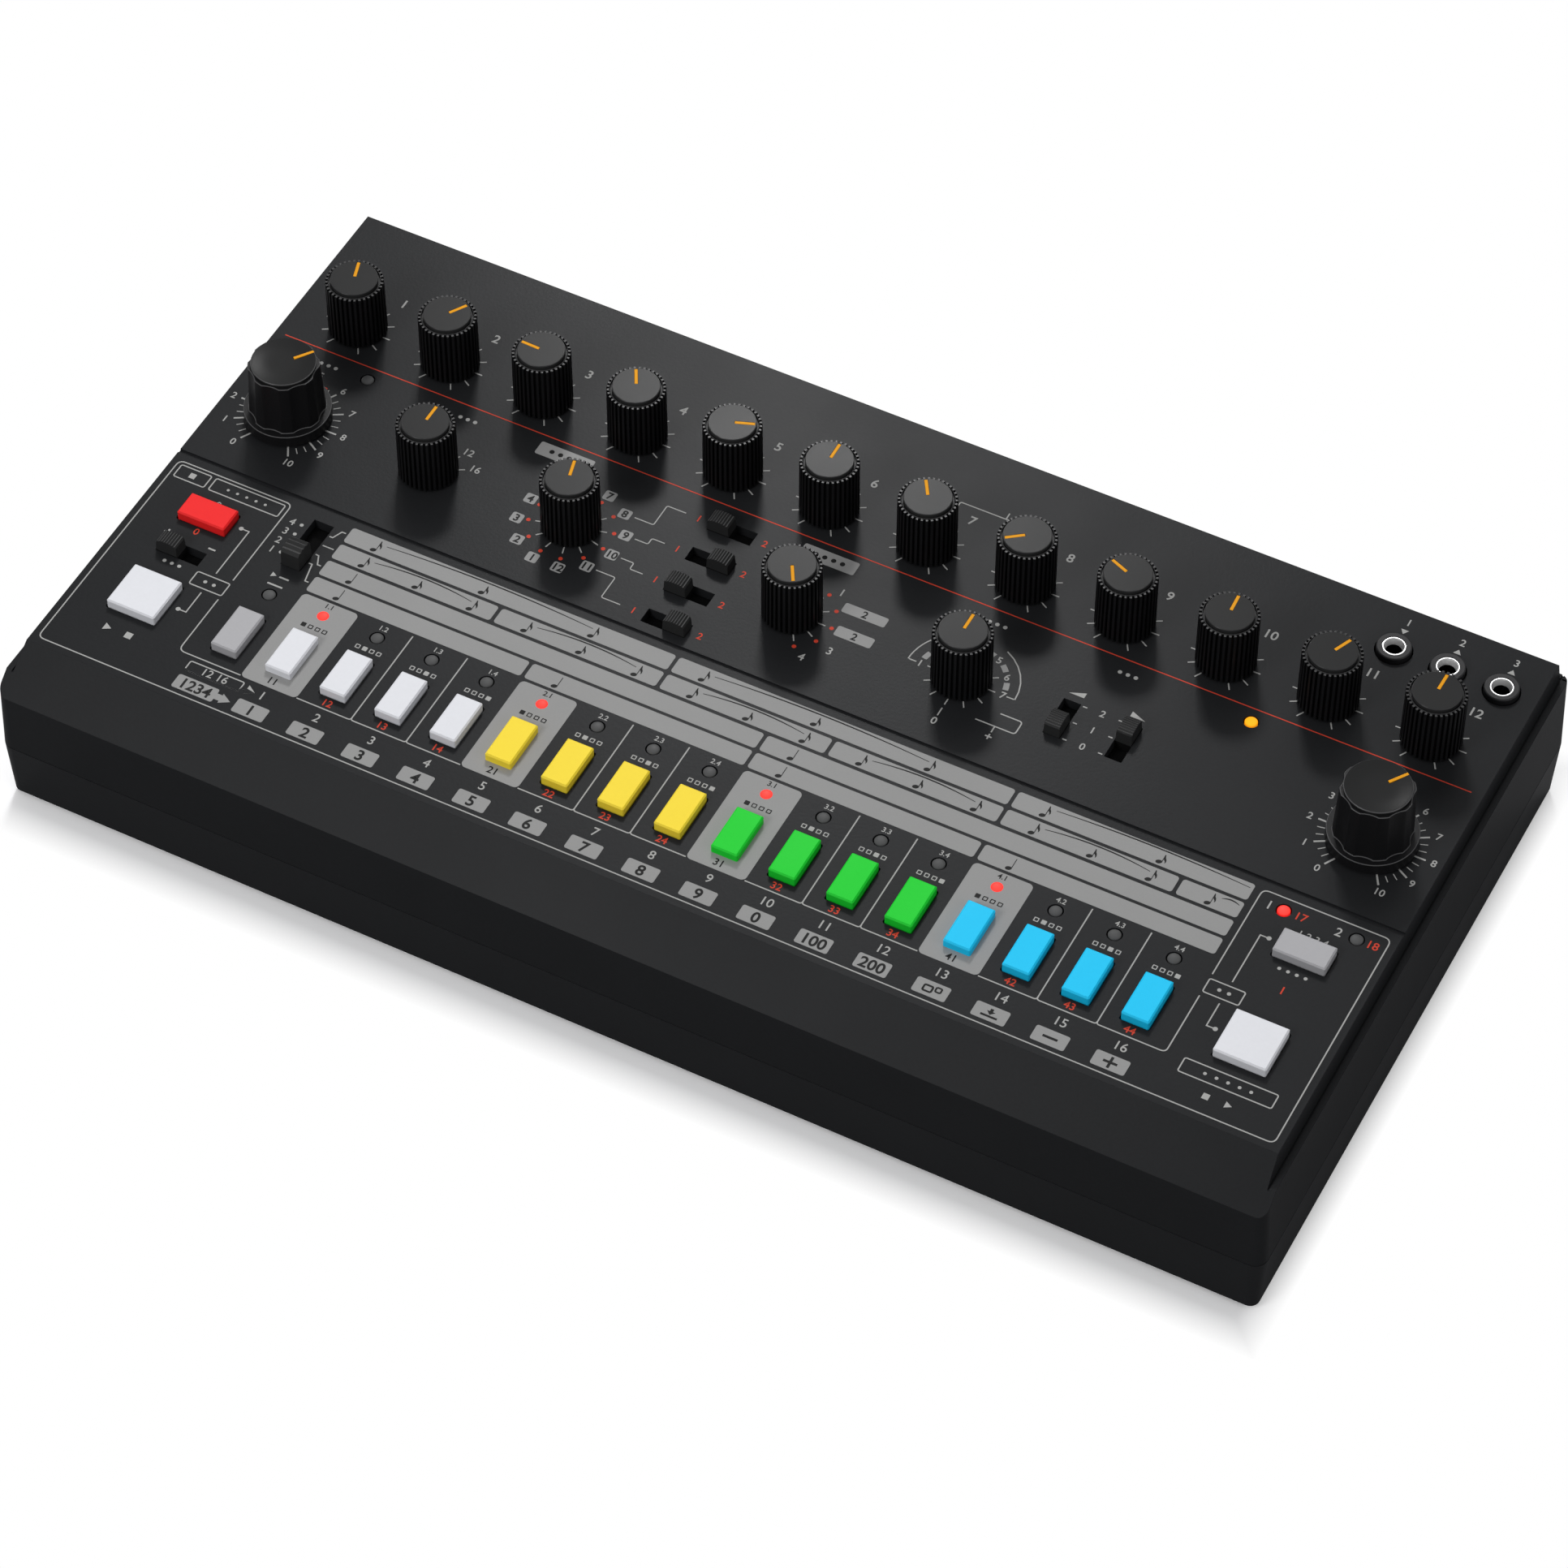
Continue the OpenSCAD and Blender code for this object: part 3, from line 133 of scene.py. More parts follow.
def ramp_between(tree, factor, low, high):
    """A colour ramp between two stops, each a position and a colour."""
    ramp = add_node(tree, "ValToRGB", {"Fac": factor})
    for stop, (position, colour) in zip(ramp.color_ramp.elements, (low, high)):
        stop.position = position
        stop.color = (*colour, 1)
    return ramp.outputs["Color"]


print("node helpers ready")

# %% [markdown]
# ## Floor and light
# The product stands on a white sweep. For camera rays the floor fades to plain white within a
# centimetre of the case, so only the narrow soft shadow along its foot is left. All other rays see
# a duller floor, which keeps the front and the sides of the case dark.
# Two softboxes stand far behind the left corner: a small hard one that throws the shadows of the
# knobs towards the front, and a wide one that gives the panel its sheen. One hangs above. Two
# more, at the front left and at the right, open up the sloping band and the end wall.

# %% World
world = bpy.data.worlds.new("studio")
scene.world = world
world.use_nodes = True
sky = world.node_tree
sky.nodes.clear()
height = add_node(sky, "SeparateXYZ", {0: add_node(sky, "TexCoord").outputs["Generated"]})
sky_colour = ramp_between(sky, height.outputs["Z"], (0.0, (0.40, 0.41, 0.43)), (0.9, (1.0, 1.0, 1.0)))
lit = add_node(sky, "Background", {"Color": sky_colour, "Strength": 0.30})
seen = add_node(sky, "Background", {"Color": (1.0, 1.0, 1.0, 1.0), "Strength": 1.0})
path = add_node(sky, "LightPath").outputs
either = add_node(sky, "Math", {0: path["Is Camera Ray"], 1: path["Is Glossy Ray"]}, "MAXIMUM")
mixed = add_node(sky, "MixShader", {"Fac": either.outputs[0], 1: lit.outputs[0], 2: seen.outputs[0]})
add_node(sky, "OutputWorld", {"Surface": mixed.outputs[0]})
print("world ready")

# %% Softboxes
def softbox(name, place, aim, size, watts):
    """A square area lamp at a place that faces an aim, both in millimetres."""
    data = bpy.data.lights.new(name, "AREA")
    data.shape = "RECTANGLE"
    data.size = size
    data.size_y = size
    data.energy = watts
    lamp = bpy.data.objects.new(name, data)
    lamp.location = Vector(place) * MM
    lamp.rotation_euler = (Vector(aim) * MM - lamp.location).to_track_quat("-Z", "Y").to_euler()
    scene.collection.objects.link(lamp)


softbox("back_softbox", (-525, 1070, 1160), (-20, 20, 40), 0.24, 9.6)
softbox("wide_softbox", (-380, 1080, 1300), (0, 0, 40), 1.1, 3.4)
softbox("top_softbox", (-200, 100, 1400), (0, 0, 40), 0.8, 2.0)
softbox("front_left_softbox", (-440, -1010, 860), (0, -70, 40), 0.5, 6.7)
softbox("right_softbox", (1150, -250, 520), (100, 0, 20), 0.6, 2.2)

# %% Floor
FADE_START, FADE_END = 2, 10
RIGHT_SHADOW_X = 146.85
bpy.ops.object.select_all(action="DESELECT")
bpy.ops.mesh.primitive_plane_add(size=8.0, location=(0, 0, 0))
floor = bpy.context.active_object
floor.name = "studio_floor"
floor_paint = bpy.data.materials.new("floor_paint")
floor_paint.use_nodes = True
sheet = floor_paint.node_tree
floor_shader = sheet.nodes["Principled BSDF"]
to_camera = add_node(sheet, "LightPath").outputs["Is Camera Ray"]
shade = add_node(sheet, "Mix", {"Factor": to_camera, "A": (0.28, 0.28, 0.285, 1),
                                "B": (1.2, 1.2, 1.21, 1)}, "RGBA")
wire(sheet, floor_shader, {"Roughness": 0.6, "Specular IOR Level": 0.1,
                           "Base Color": shade.outputs["Result"]})


def floor_math(operation, *values):
    """The result of one maths node, from numbers or the outputs of other nodes."""
    return add_node(sheet, "Math", dict(enumerate(values)), operation).outputs[0]


place = add_node(sheet, "SeparateXYZ", {0: add_node(sheet, "TexCoord").outputs["Object"]}).outputs
from_front = floor_math("SUBTRACT", -CASE_Y * MM, place["Y"])
from_back = floor_math("SUBTRACT", place["Y"], CASE_Y * MM)
from_right = floor_math("SUBTRACT", place["X"], RIGHT_SHADOW_X * MM)
from_left = floor_math("SUBTRACT", -CASE_X * MM, place["X"])
away = floor_math("MAXIMUM", floor_math("MAXIMUM", from_front, from_back),
                  floor_math("MAXIMUM", from_right, from_left))
fade = add_node(sheet, "MapRange", {"Value": away, "From Min": FADE_START * MM, "From Max": FADE_END * MM})
blend = add_node(sheet, "MixShader", {0: floor_math("MULTIPLY", to_camera, fade.outputs["Result"]),
                                      1: floor_shader.outputs[0],
                                      2: add_node(sheet, "Emission").outputs[0]})
wire(sheet, sheet.nodes["Material Output"], {"Surface": blend.outputs[0]})
floor.data.materials.append(floor_paint)
print("floor laid")

# %% [markdown]
# ## Finishes
# Every outside part is injection moulded. Such a surface is never one flat colour: the mould leaves
# a fine grain, the pigment is a little uneven, and the gloss changes over a few centimetres.
# These effects are the same on all plastics, so they are built once as a node group, with its own
# named inputs. The shader itself stays in each material.

# %% The surface group
def surface_group():
    """Colour, roughness and height of a moulded or printed surface, read from Object coordinates."""
    group = bpy.data.node_groups.new("moulded_surface", "ShaderNodeTree")
    number, colour = "NodeSocketFloat", "NodeSocketColor"
    for name, kind, value in [("Colour", colour, (0.5, 0.5, 0.5, 1)), ("Mottle", number, 0.1),
                              ("Grain Scale", number, 1600.0), ("Rough Low", number, 0.3),
                              ("Rough High", number, 0.5)]:
        socket = group.interface.new_socket(name=name, in_out="INPUT", socket_type=kind)
        socket.default_value = value
    for name, kind in [("Colour", colour), ("Roughness", number), ("Height", number)]:
        group.interface.new_socket(name=name, in_out="OUTPUT", socket_type=kind)
    taken = group.nodes.new("NodeGroupInput").outputs
    given = group.nodes.new("NodeGroupOutput")
    place = add_node(group, "TexCoord").outputs["Object"]

    def noise(scale, detail):
        return add_node(group, "TexNoise", {"Vector": place, "Scale": scale, "Detail": detail}).outputs["Fac"]

    grain, cloud, patch = noise(taken["Grain Scale"], 3.0), noise(60.0, 5.0), noise(18.0, 4.0)
    speck = add_node(group, "Math", {0: grain, 1: cloud}, "ADD")
    shift = add_node(group, "Math", {0: speck.outputs[0], 1: 1.0}, "SUBTRACT")
    amount = add_node(group, "Math", {0: shift.outputs[0], 1: taken["Mottle"], 2: 1.0}, "MULTIPLY_ADD")
    tint = add_node(group, "VectorMath", {0: taken["Colour"], "Scale": amount.outputs[0]}, "SCALE")
    rough = add_node(group, "MapRange", {"Value": patch, "From Min": 0.3, "From Max": 0.7,
                                         "To Min": taken["Rough Low"], "To Max": taken["Rough High"]})
    wire(group, given, {"Colour": tint.outputs[0], "Roughness": rough.outputs["Result"], "Height": grain})
    return group


SURFACE = surface_group()
print("surface group has", len(SURFACE.nodes), "nodes")

# %% [markdown]
# Real edges are never sharp: a mould edge has a radius of a tenth of a millimetre or more, and the
# light catches it as a fine bright line. Rounding every CAD edge would change the frame's meshes,
# so the Bevel node rounds only the shading. It feeds the Bump node, so grain and edge add up.

# %% A moulded or printed finish
GRAIN_DEPTH = 0.05


def finish(name, colour, rough, grain, scale, mottle, edge, specular, metallic=0.0):
    """A material made of the surface group, a Bump node and one Principled shader."""
    made = bpy.data.materials.new(name)
    made.use_nodes = True
    tree = made.node_tree
    skin = tree.nodes.new("ShaderNodeGroup")
    skin.node_tree = SURFACE
    wire(tree, skin, {"Colour": (*colour, 1), "Mottle": mottle, "Grain Scale": scale,
                      "Rough Low": rough[0], "Rough High": rough[1]})
    bump = add_node(tree, "Bump", {"Strength": grain, "Distance": GRAIN_DEPTH * MM,
                                   "Height": skin.outputs["Height"]})
    if edge:
        soft = add_node(tree, "Bevel", {"Radius": edge * MM})
        soft.samples = 4
        wire(tree, bump, {"Normal": soft.outputs["Normal"]})
    wire(tree, tree.nodes["Principled BSDF"], {
        "Base Color": skin.outputs["Colour"], "Roughness": skin.outputs["Roughness"],
        "Normal": bump.outputs["Normal"], "Specular IOR Level": specular, "Metallic": metallic})
    return made


shell_plastic = finish("shell_plastic", (0.0178, 0.0185, 0.0199), (0.28, 0.33), 0.3, 1500, 0.16, 0.12, 0.036)
lower_plastic = finish("lower_plastic", (0.0180, 0.0187, 0.0202), (0.32, 0.38), 0.3, 1500, 0.16, 0.12, 0.06)
knob_plastic = finish("knob_plastic", (0.0085, 0.0085, 0.0092), (0.34, 0.42), 0.25, 1900, 0.1, 0, 0.1)
# The next two finishes are painted highlights: paler plastic for the rim faces of the knobs that face up
# towards the lamp.
rim_plastic = finish("rim_plastic", (0.036, 0.036, 0.037), (0.25, 0.3), 0.15, 1900, 0.1, 0, 0.1)
edge_plastic = finish("edge_plastic", (0.09, 0.09, 0.092), (0.25, 0.3), 0.15, 1900, 0.1, 0, 0.1)
cap_plastic = finish("cap_plastic", (0.0275, 0.0278, 0.028), (0.2, 0.24), 0.12, 2400, 0.1, 0, 0.034)
large_cap_plastic = finish("large_cap_plastic", (0.0185, 0.0188, 0.019), (0.2, 0.24), 0.12, 2400,
                           0.1, 0, 0.034)
pointer_paint = finish("pointer_paint", (0.82, 0.345, 0.007), (0.5, 0.6), 0.2, 1500, 0.06, 0, 0.1)
KEY_COLOURS = {"white": (0.80, 0.81, 0.85, 0.05), "grey": (0.43, 0.428, 0.445, 0.06),
               "red": (0.93, 0.020, 0.021, 0.06), "yellow": (1.0, 0.765, 0.048, 0.05),
               "green": (0.012, 0.66, 0.034, 0.05), "blue": (0.012, 0.615, 1.0, 0.05)}
finish_of = {}
for name, (*colour, mottle) in KEY_COLOURS.items():
    finish_of[name + "_key"] = finish(name + "_plastic", colour, (0.45, 0.55), 0.35, 1300, mottle, 0.08, 0.12)
switch_plastic = finish("switch_plastic", (0.024, 0.0243, 0.0246), (0.4, 0.5), 0.25, 1800, 0.1, 0.05, 0.08)
# A paler finish for the ridge slopes of the slide caps that face the lamp: a painted highlight.
ridge_plastic = finish("ridge_plastic", (0.066, 0.0665, 0.067), (0.4, 0.5), 0.25, 1800, 0.1, 0.05, 0.08)
# Near black and dull: the black of the switch bodies, made darker still as painted shade down in the slots.
slot_plastic = finish("slot_plastic", (0.006, 0.006, 0.0062), (0.7, 0.8), 0.25, 1800, 0.1, 0.05, 0.02)
black_plastic = finish("black_plastic", (0.011, 0.011, 0.012), (0.45, 0.55), 0.3, 1600, 0.12, 0.06, 0.2)
foot_rubber = finish("foot_rubber", (0.012, 0.012, 0.012), (0.75, 0.9), 0.6, 1200, 0.2, 0.4, 0.2)
bright_metal = finish("bright_metal", (0.72, 0.71, 0.69), (0.12, 0.2), 0.1, 3000, 0.05, 0, 0.5, 1.0)
throat_metal = finish("throat_metal", (0.80, 0.80, 0.80), (0.24, 0.3), 0.1, 3000, 0.03, 0, 0.5, 0.55)
screw_metal = finish("screw_metal", (0.10, 0.10, 0.105), (0.3, 0.42), 0.2, 2500, 0.1, 0.1, 0.5, 1.0)
tinned_metal = finish("tinned_metal", (0.55, 0.56, 0.57), (0.25, 0.4), 0.2, 2500, 0.08, 0.1, 0.5, 1.0)
clear_lens = finish("clear_lens", (0.075, 0.076, 0.077), (0.45, 0.55), 0.05, 1200, 0.1, 0, 0.15)
lens_spacer = finish("lens_spacer", (0.012, 0.012, 0.012), (0.5, 0.6), 0.2, 1700, 0.05, 0, 0.2)
print("finishes made:", len(bpy.data.materials))

# %% [markdown]
# A circuit board is a fibreglass sheet under a green lacquer. Copper tracks lie under the lacquer,
# so they show as a slightly lighter, slightly raised net. Bricks that are turned a half step give
# that net of straight runs and pads without a picture of one.

# %% Circuit board
def board_lacquer():
    """Green lacquer over straight copper runs."""
    made = finish("board_lacquer", (0.008, 0.075, 0.025), (0.25, 0.35), 0.1, 1400, 0.15, 0, 0.5)
    tree = made.node_tree
    skin = [n for n in tree.nodes if n.type == "GROUP"][0]
    bump = [n for n in tree.nodes if n.type == "BUMP"][0]
    runs = add_node(tree, "TexBrick", {
        "Vector": add_node(tree, "TexCoord").outputs["Object"], "Scale": 90.0, "Mortar Size": 0.035,
        "Color1": (0, 0, 0, 1), "Color2": (0, 0, 0, 1), "Mortar": (1, 1, 1, 1)})
    runs.offset = 0.5
    mixed = add_node(tree, "Mix", {"Factor": runs.outputs["Color"], "A": skin.outputs["Colour"],
                                   "B": (0.02, 0.16, 0.05, 1)}, "RGBA")
    wire(tree, tree.nodes["Principled BSDF"], {"Base Color": mixed.outputs["Result"]})
    wire(tree, bump, {"Height": runs.outputs["Color"]})
    return made


board_green = board_lacquer()
print("board lacquer made")

# %% [markdown]
# A lit indicator glows evenly through its lens, and most strongly along its axis, where the diode's
# small cup sits. The glow is an emission colour that follows the way the lens surface faces: the
# top of the dome is bright, and its rim is a deeper colour.

# %% Lit lenses
def lit_lens(name, core, rim):
    """A lens whose emission goes from a rim colour at its side to a core colour at its top."""
    made = finish(name, rim, (0.4, 0.5), 0.05, 1200, 0.05, 0, 0.12)
    tree = made.node_tree
    facing = add_node(tree, "SeparateXYZ", {0: add_node(tree, "NewGeometry").outputs["Normal"]})
    glow = ramp_between(tree, facing.outputs["Z"], (0.55, rim), (0.98, core))
    wire(tree, tree.nodes["Principled BSDF"], {"Emission Color": glow, "Emission Strength": 0.95})
    return made


red_glow = lit_lens("red_glow", (0.98, 0.066, 0.052), (0.62, 0.013, 0.01))
amber_glow = lit_lens("amber_glow", (0.95, 0.43, 0.018), (0.7, 0.24, 0.004))
print("two lit lenses made")

# %% [markdown]
# ## Give the CAD parts their finishes
# The cases, boards, keys, feet, screws, switch bodies and the power switch already have the right
# shape, so they stay, and each gets its finish in its own material slot. Their meshes and places
# aren't touched.

# %% Dress the CAD parts
slot_of = {part["node"]: part["material_slot"] for part in frame["record"]["subparts"]}
finish_of |= {"upper_shell": shell_plastic, "lower_shell": lower_plastic, "board": board_green,
              "dark_component": black_plastic, "tinned_metal": tinned_metal,
              "foot_rubber": foot_rubber, "screw_steel": screw_metal, "switch_cap": switch_plastic}
dressed = [name for name in nodes if slot_of[name] in finish_of]
for name in dressed:
    for place in nodes[name].material_slots:
        place.material = finish_of[slot_of[name]]
# The switch bodies in the slots get the dark finish: black plastic with painted shade.
for place in nodes["slide_switch_bodies"].material_slots:
    place.material = slot_plastic
print("dressed", len(dressed), "of", len(nodes), "nodes; pieces below replace the rest")

# %% [markdown]
# ## Tools for modelling by hand
# Blender's operators act on everything that is selected, so each piece starts with nothing
# selected. In edit mode, faces and corners are picked by where they are.

# %% Selecting
def select_only(*pieces):
    bpy.ops.object.select_all(action="DESELECT")
    for piece in pieces:
        piece.select_set(True)
    bpy.context.view_layer.objects.active = pieces[0]


def pick(kind, test):
    """In edit mode, select the items of a kind whose middle, in millimetres, passes a test."""
    bpy.ops.mesh.select_mode(type=kind)
    bpy.ops.mesh.select_all(action="DESELECT")
    mesh = bmesh.from_edit_mesh(bpy.context.edit_object.data)
    items = mesh.verts if kind == "VERT" else mesh.faces
    for item in items:
        corners = [item] if kind == "VERT" else item.verts
        middle = sum((c.co for c in corners), Vector()) / len(corners) / MM
        if test(middle):
            item.select_set(True)
    mesh.select_flush_mode()
    bmesh.update_edit_mesh(bpy.context.edit_object.data)
    return sum(1 for item in items if item.select)


# %% Turning a piece as on a lathe
def turned(name, rings, sides=96):
    """Raise a disc ring by ring: each ring is a radius and a height in millimetres."""
    bpy.ops.object.select_all(action="DESELECT")
    last_r, last_z = rings[0]
    bpy.ops.mesh.primitive_circle_add(vertices=sides, radius=last_r * MM, fill_type="NGON",
                                      location=(0, 0, last_z * MM))
    piece = bpy.context.active_object
    piece.name = piece.data.name = name
    bpy.ops.object.transform_apply(location=True, rotation=True, scale=True)
    bpy.ops.object.mode_set(mode="EDIT")
    bpy.ops.mesh.select_mode(type="FACE")
    bpy.ops.mesh.select_all(action="SELECT")
    for r, z in rings[1:]:
        bpy.ops.mesh.extrude_region_move(TRANSFORM_OT_translate={"value": (0, 0, (z - last_z) * MM)})
        if r == 0:
            bpy.ops.mesh.merge(type="CENTER")
            break
        bpy.ops.transform.resize(value=(r / last_r, r / last_r, 1), center_override=(0, 0, z * MM))
        last_r, last_z = r, z
    bpy.ops.mesh.select_all(action="SELECT")
    bpy.ops.mesh.normals_make_consistent(inside=False)
    bpy.ops.object.mode_set(mode="OBJECT")
    return piece


# %% A block
def block(name, low, high):
    """A box between two corners in millimetres."""
    bpy.ops.object.select_all(action="DESELECT")
    size = [b - a for a, b in zip(low, high)]
    middle = [(a + b) / 2 * MM for a, b in zip(low, high)]
    bpy.ops.mesh.primitive_cube_add(size=1, location=middle, scale=[s * MM for s in size])
    piece = bpy.context.active_object
    piece.name = piece.data.name = name
    bpy.ops.object.transform_apply(location=True, rotation=True, scale=True)
    return piece


# %% Cutting, softening and copying
def cut(piece, tool, operation="DIFFERENCE"):
    """Take a tool's shape out of a piece, or join it on, and throw the tool away."""
    select_only(piece)
    saw = piece.modifiers.new("cut", "BOOLEAN")
    saw.operation = operation
    saw.object = tool
    saw.solver = "EXACT"
    bpy.ops.object.modifier_apply(modifier=saw.name)
    bpy.data.objects.remove(tool)


def soften(piece, width, segments=2, angle=35):
    """Shade smooth up to an angle, and round the sharper edges while the faces stay flat."""
    select_only(piece)
    bpy.ops.object.shade_smooth_by_angle(angle=math.radians(angle))
    round_over = piece.modifiers.new("soft_edges", "BEVEL")
    round_over.width = width * MM
    round_over.segments = segments
    round_over.limit_method = "ANGLE"
    round_over.angle_limit = math.radians(angle)
    round_over.harden_normals = True
    bpy.ops.object.modifier_apply(modifier=round_over.name)


def copy_to(piece, name, place, turn=0.0):
    """A copy with its own mesh, turned about Z and moved in its mesh. Place is in millimetres."""
    mesh = piece.data.copy()
    mesh.transform(Matrix.Translation(Vector(place) * MM) @ Matrix.Rotation(math.radians(turn), 4, "Z"))
    made = bpy.data.objects.new(name, mesh)
    mesh.name = name
    scene.collection.objects.link(made)
    return made


def paint(piece, material, body):
    """Finish a piece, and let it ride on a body."""
    piece.data.materials.clear()
    piece.data.materials.append(material)
    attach(piece, body)


def finish_solid(solid, name, width, segments, material, body):
    """Name a solid taken from a CAD node, soften its edges and paint it."""
    solid.name = solid.data.name = name
    soften(solid, width, segments)
    paint(solid, material, body)


def middle_of(node):
    """Middle of a CAD node's box, in millimetres."""
    low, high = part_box(node)
    return [(a + b) / 2 / MM for a, b in zip(low, high)]


# %% [markdown]
# Some CAD nodes hold several solids of different materials, such as a jack's black body and its
# bright mouth ring. A copy of the node is merged, cleaned to flat faces, and split into its loose
# solids, so that each can have a finish of its own. The CAD node itself is only hidden.

# %% Splitting a CAD node into its solids
def solids_of(node):
    """The separate solids of a CAD node as new objects, with their edges ready for softening."""
    mesh = nodes[node].data.copy()
    whole = bpy.data.objects.new(node + "_solids", mesh)
    scene.collection.objects.link(whole)
    mesh.materials.clear()
    select_only(whole)
    bpy.ops.mesh.customdata_custom_splitnormals_clear()
    bpy.ops.object.mode_set(mode="EDIT")
    bpy.ops.mesh.select_all(action="SELECT")
    bpy.ops.mesh.remove_doubles(threshold=0.000001)
    bpy.ops.mesh.dissolve_limited(angle_limit=math.radians(0.5))
    bpy.ops.mesh.separate(type="LOOSE")
    bpy.ops.object.mode_set(mode="OBJECT")
    return list(bpy.context.selected_objects)


def spans(piece):
    """Lowest and highest corner of a piece's mesh, in millimetres."""
    points = [v.co / MM for v in piece.data.vertices]
    return ([min(p[k] for p in points) for k in range(3)], [max(p[k] for p in points) for k in range(3)])


# %% [markdown]
# ## The small knobs
# A small control knob is a black skirt with 36 fine ribs that lean inwards a little as they rise,
# and a dark grey cap pressed into its top, with a painted pointer in a slot. The ribs could be a
# texture, but their shadow line shows at the rim. So a turned skirt is made with six faces to a
# rib, and three of each six are pushed outwards. The rib tops at the rim and the cap's chamfer face
# up towards the lamp, and get a second, paler finish: a painted highlight.

# %% Helpers for round pieces
def from_axis(point):
    """Distance of a point from the Z axis, in the point's own unit."""
    return math.hypot(point.x, point.y)


def widen(old, new):
    """Scale what is selected about the Z axis, from one radius to another."""
    bpy.ops.transform.resize(value=(new / old, new / old, 1), center_override=(0, 0, 0))


def second_finish(piece, test):
    """Give the faces that pass a test the index of a piece's second material, a paler painted highlight."""
    for face in piece.data.polygons:
        face.material_index = int(test(face))


print("helpers for round pieces ready")

# %% Small knob skirt
RIBS = 36
WALL_R, RIB_R, RIB_TOP_R, RIM_R = 6.05, 6.8, 6.72, 6.62
skirt = turned("small_skirt", [(3.0, 12.0), (3.0, 0.5), (WALL_R, 0.5), (WALL_R, 15.0), (WALL_R, 15.35),
                               (5.95, 15.5), (5.85, 15.5), (5.85, 15.0)], RIBS * 6)
bpy.ops.object.mode_set(mode="EDIT")


def on_rib(middle):
    """Three faces of each six on the outer wall."""
    around = math.degrees(math.atan2(middle.y, middle.x)) % 360
    step = int(around / (60 / RIBS))
    return step % 6 < 3 and from_axis(middle) > 5.9 and 0.6 < middle.z < 15.36


ribs_picked = pick("FACE", on_rib)
bpy.ops.mesh.extrude_region_move(TRANSFORM_OT_translate={"value": (0, 0, 0)})
widen(WALL_R, RIB_R)
pick("VERT", lambda p: from_axis(p) > 6.6 and p.z > 14.9)
widen(RIB_R, RIB_TOP_R)
pick("VERT", lambda p: from_axis(p) > 6.3 and p.z > 15.2)
widen(RIB_TOP_R, RIM_R)
bpy.ops.object.mode_set(mode="OBJECT")
soften(skirt, 0.05, 1, 40)
# Rib tops at the rim face up towards the lamp and get the painted highlight.
second_finish(skirt, lambda face: face.normal.z > 0.4 and face.center.z > 14.9 * MM
              and from_axis(face.center) > 5.9 * MM)
print("skirt:", ribs_picked, "rib faces,", len(skirt.data.polygons), "faces after softening")

# %% Small knob cap and pointer
cap = turned("small_cap", [(5.45, 15.03), (5.45, 16.05), (5.32, 16.19), (2.0, 16.19)], 96)
cut(cap, block("pointer_slot", (0.5, -0.41, 15.9), (5.1, 0.41, 17)))
soften(cap, 0.03, 2, 30)
# The cap's chamfer gets the painted highlight.
second_finish(cap, lambda face: 0.3 < face.normal.z < 0.95 and from_axis(face.center) > 5.2 * MM)
pointer = block("small_pointer", (0.53, -0.38, 15.93), (5.07, 0.38, 16.19))
soften(pointer, 0.08, 2)
print("cap and pointer:", len(cap.data.polygons), len(pointer.data.polygons), "faces")

# %% [markdown]
# ## The large knobs
# The tempo and volume knobs have a flange, a body with eight wide shallow finger flutes, and a
# dished cap with a pointer that runs to its rim. The body is turned on its axis, and eight round
# bars that widen upwards are cut out of its side, so the flutes keep their depth as it tapers. Then
# the flange is joined on below, and the bore for the shaft is cut through both.

# %% Large knob
FLUTES, FLUTE_AXIS = 8, 13.85
large_skirt = turned("large_skirt", [(8.7, 2.5), (8.1, 16.9)], 160)
for i in range(FLUTES):
    bar = turned("flute_bar", [(5.76, 2.0), (6.35, 17.2)], 96)
    bar.data.transform(Matrix.Rotation(math.radians(360 / FLUTES * i), 4, "Z")
                       @ Matrix.Translation((FLUTE_AXIS * MM, 0, 0)))
    cut(large_skirt, bar)
cut(large_skirt, turned("flange", [(10.0, 0.5), (10.0, 3.5)], 160), "UNION")
cut(large_skirt, turned("bore", [(3.0, 0.0), (3.0, 12.0)], 64))
soften(large_skirt, 0.16, 1, 60)
# Chamfers and rim faces that face up get the pale painted highlight: thin bright lines at the flutes and the
# flange.
second_finish(large_skirt, lambda face: 0.3 < face.normal.z < 0.97 and face.center.z > 3 * MM)
large_cap = turned("large_cap", [(7.3, 16.93), (7.4, 17.25), (7.4, 17.62), (7.24, 17.8),
                                 (6.6, 17.76), (5.2, 17.62), (3.2, 17.56), (1.2, 17.55)], 128)
cut(large_cap, block("pointer_slot", (2.5, -0.38, 17.23), (8, 0.38, 19)))
soften(large_cap, 0.03, 2, 30)
# The large cap's chamfer gets the same painted highlight.
second_finish(large_cap, lambda face: 0.3 < face.normal.z < 0.95 and from_axis(face.center) > 7.2 * MM)
large_pointer = block("large_pointer", (2.53, -0.35, 17.26), (7.35, 0.35, 17.76))
soften(large_pointer, 0.06, 2)
print("large knob:", len(large_skirt.data.polygons), "faces on the fluted body")

# %% Put the knobs in place
KNOB_SOLID_DEPTH = 5


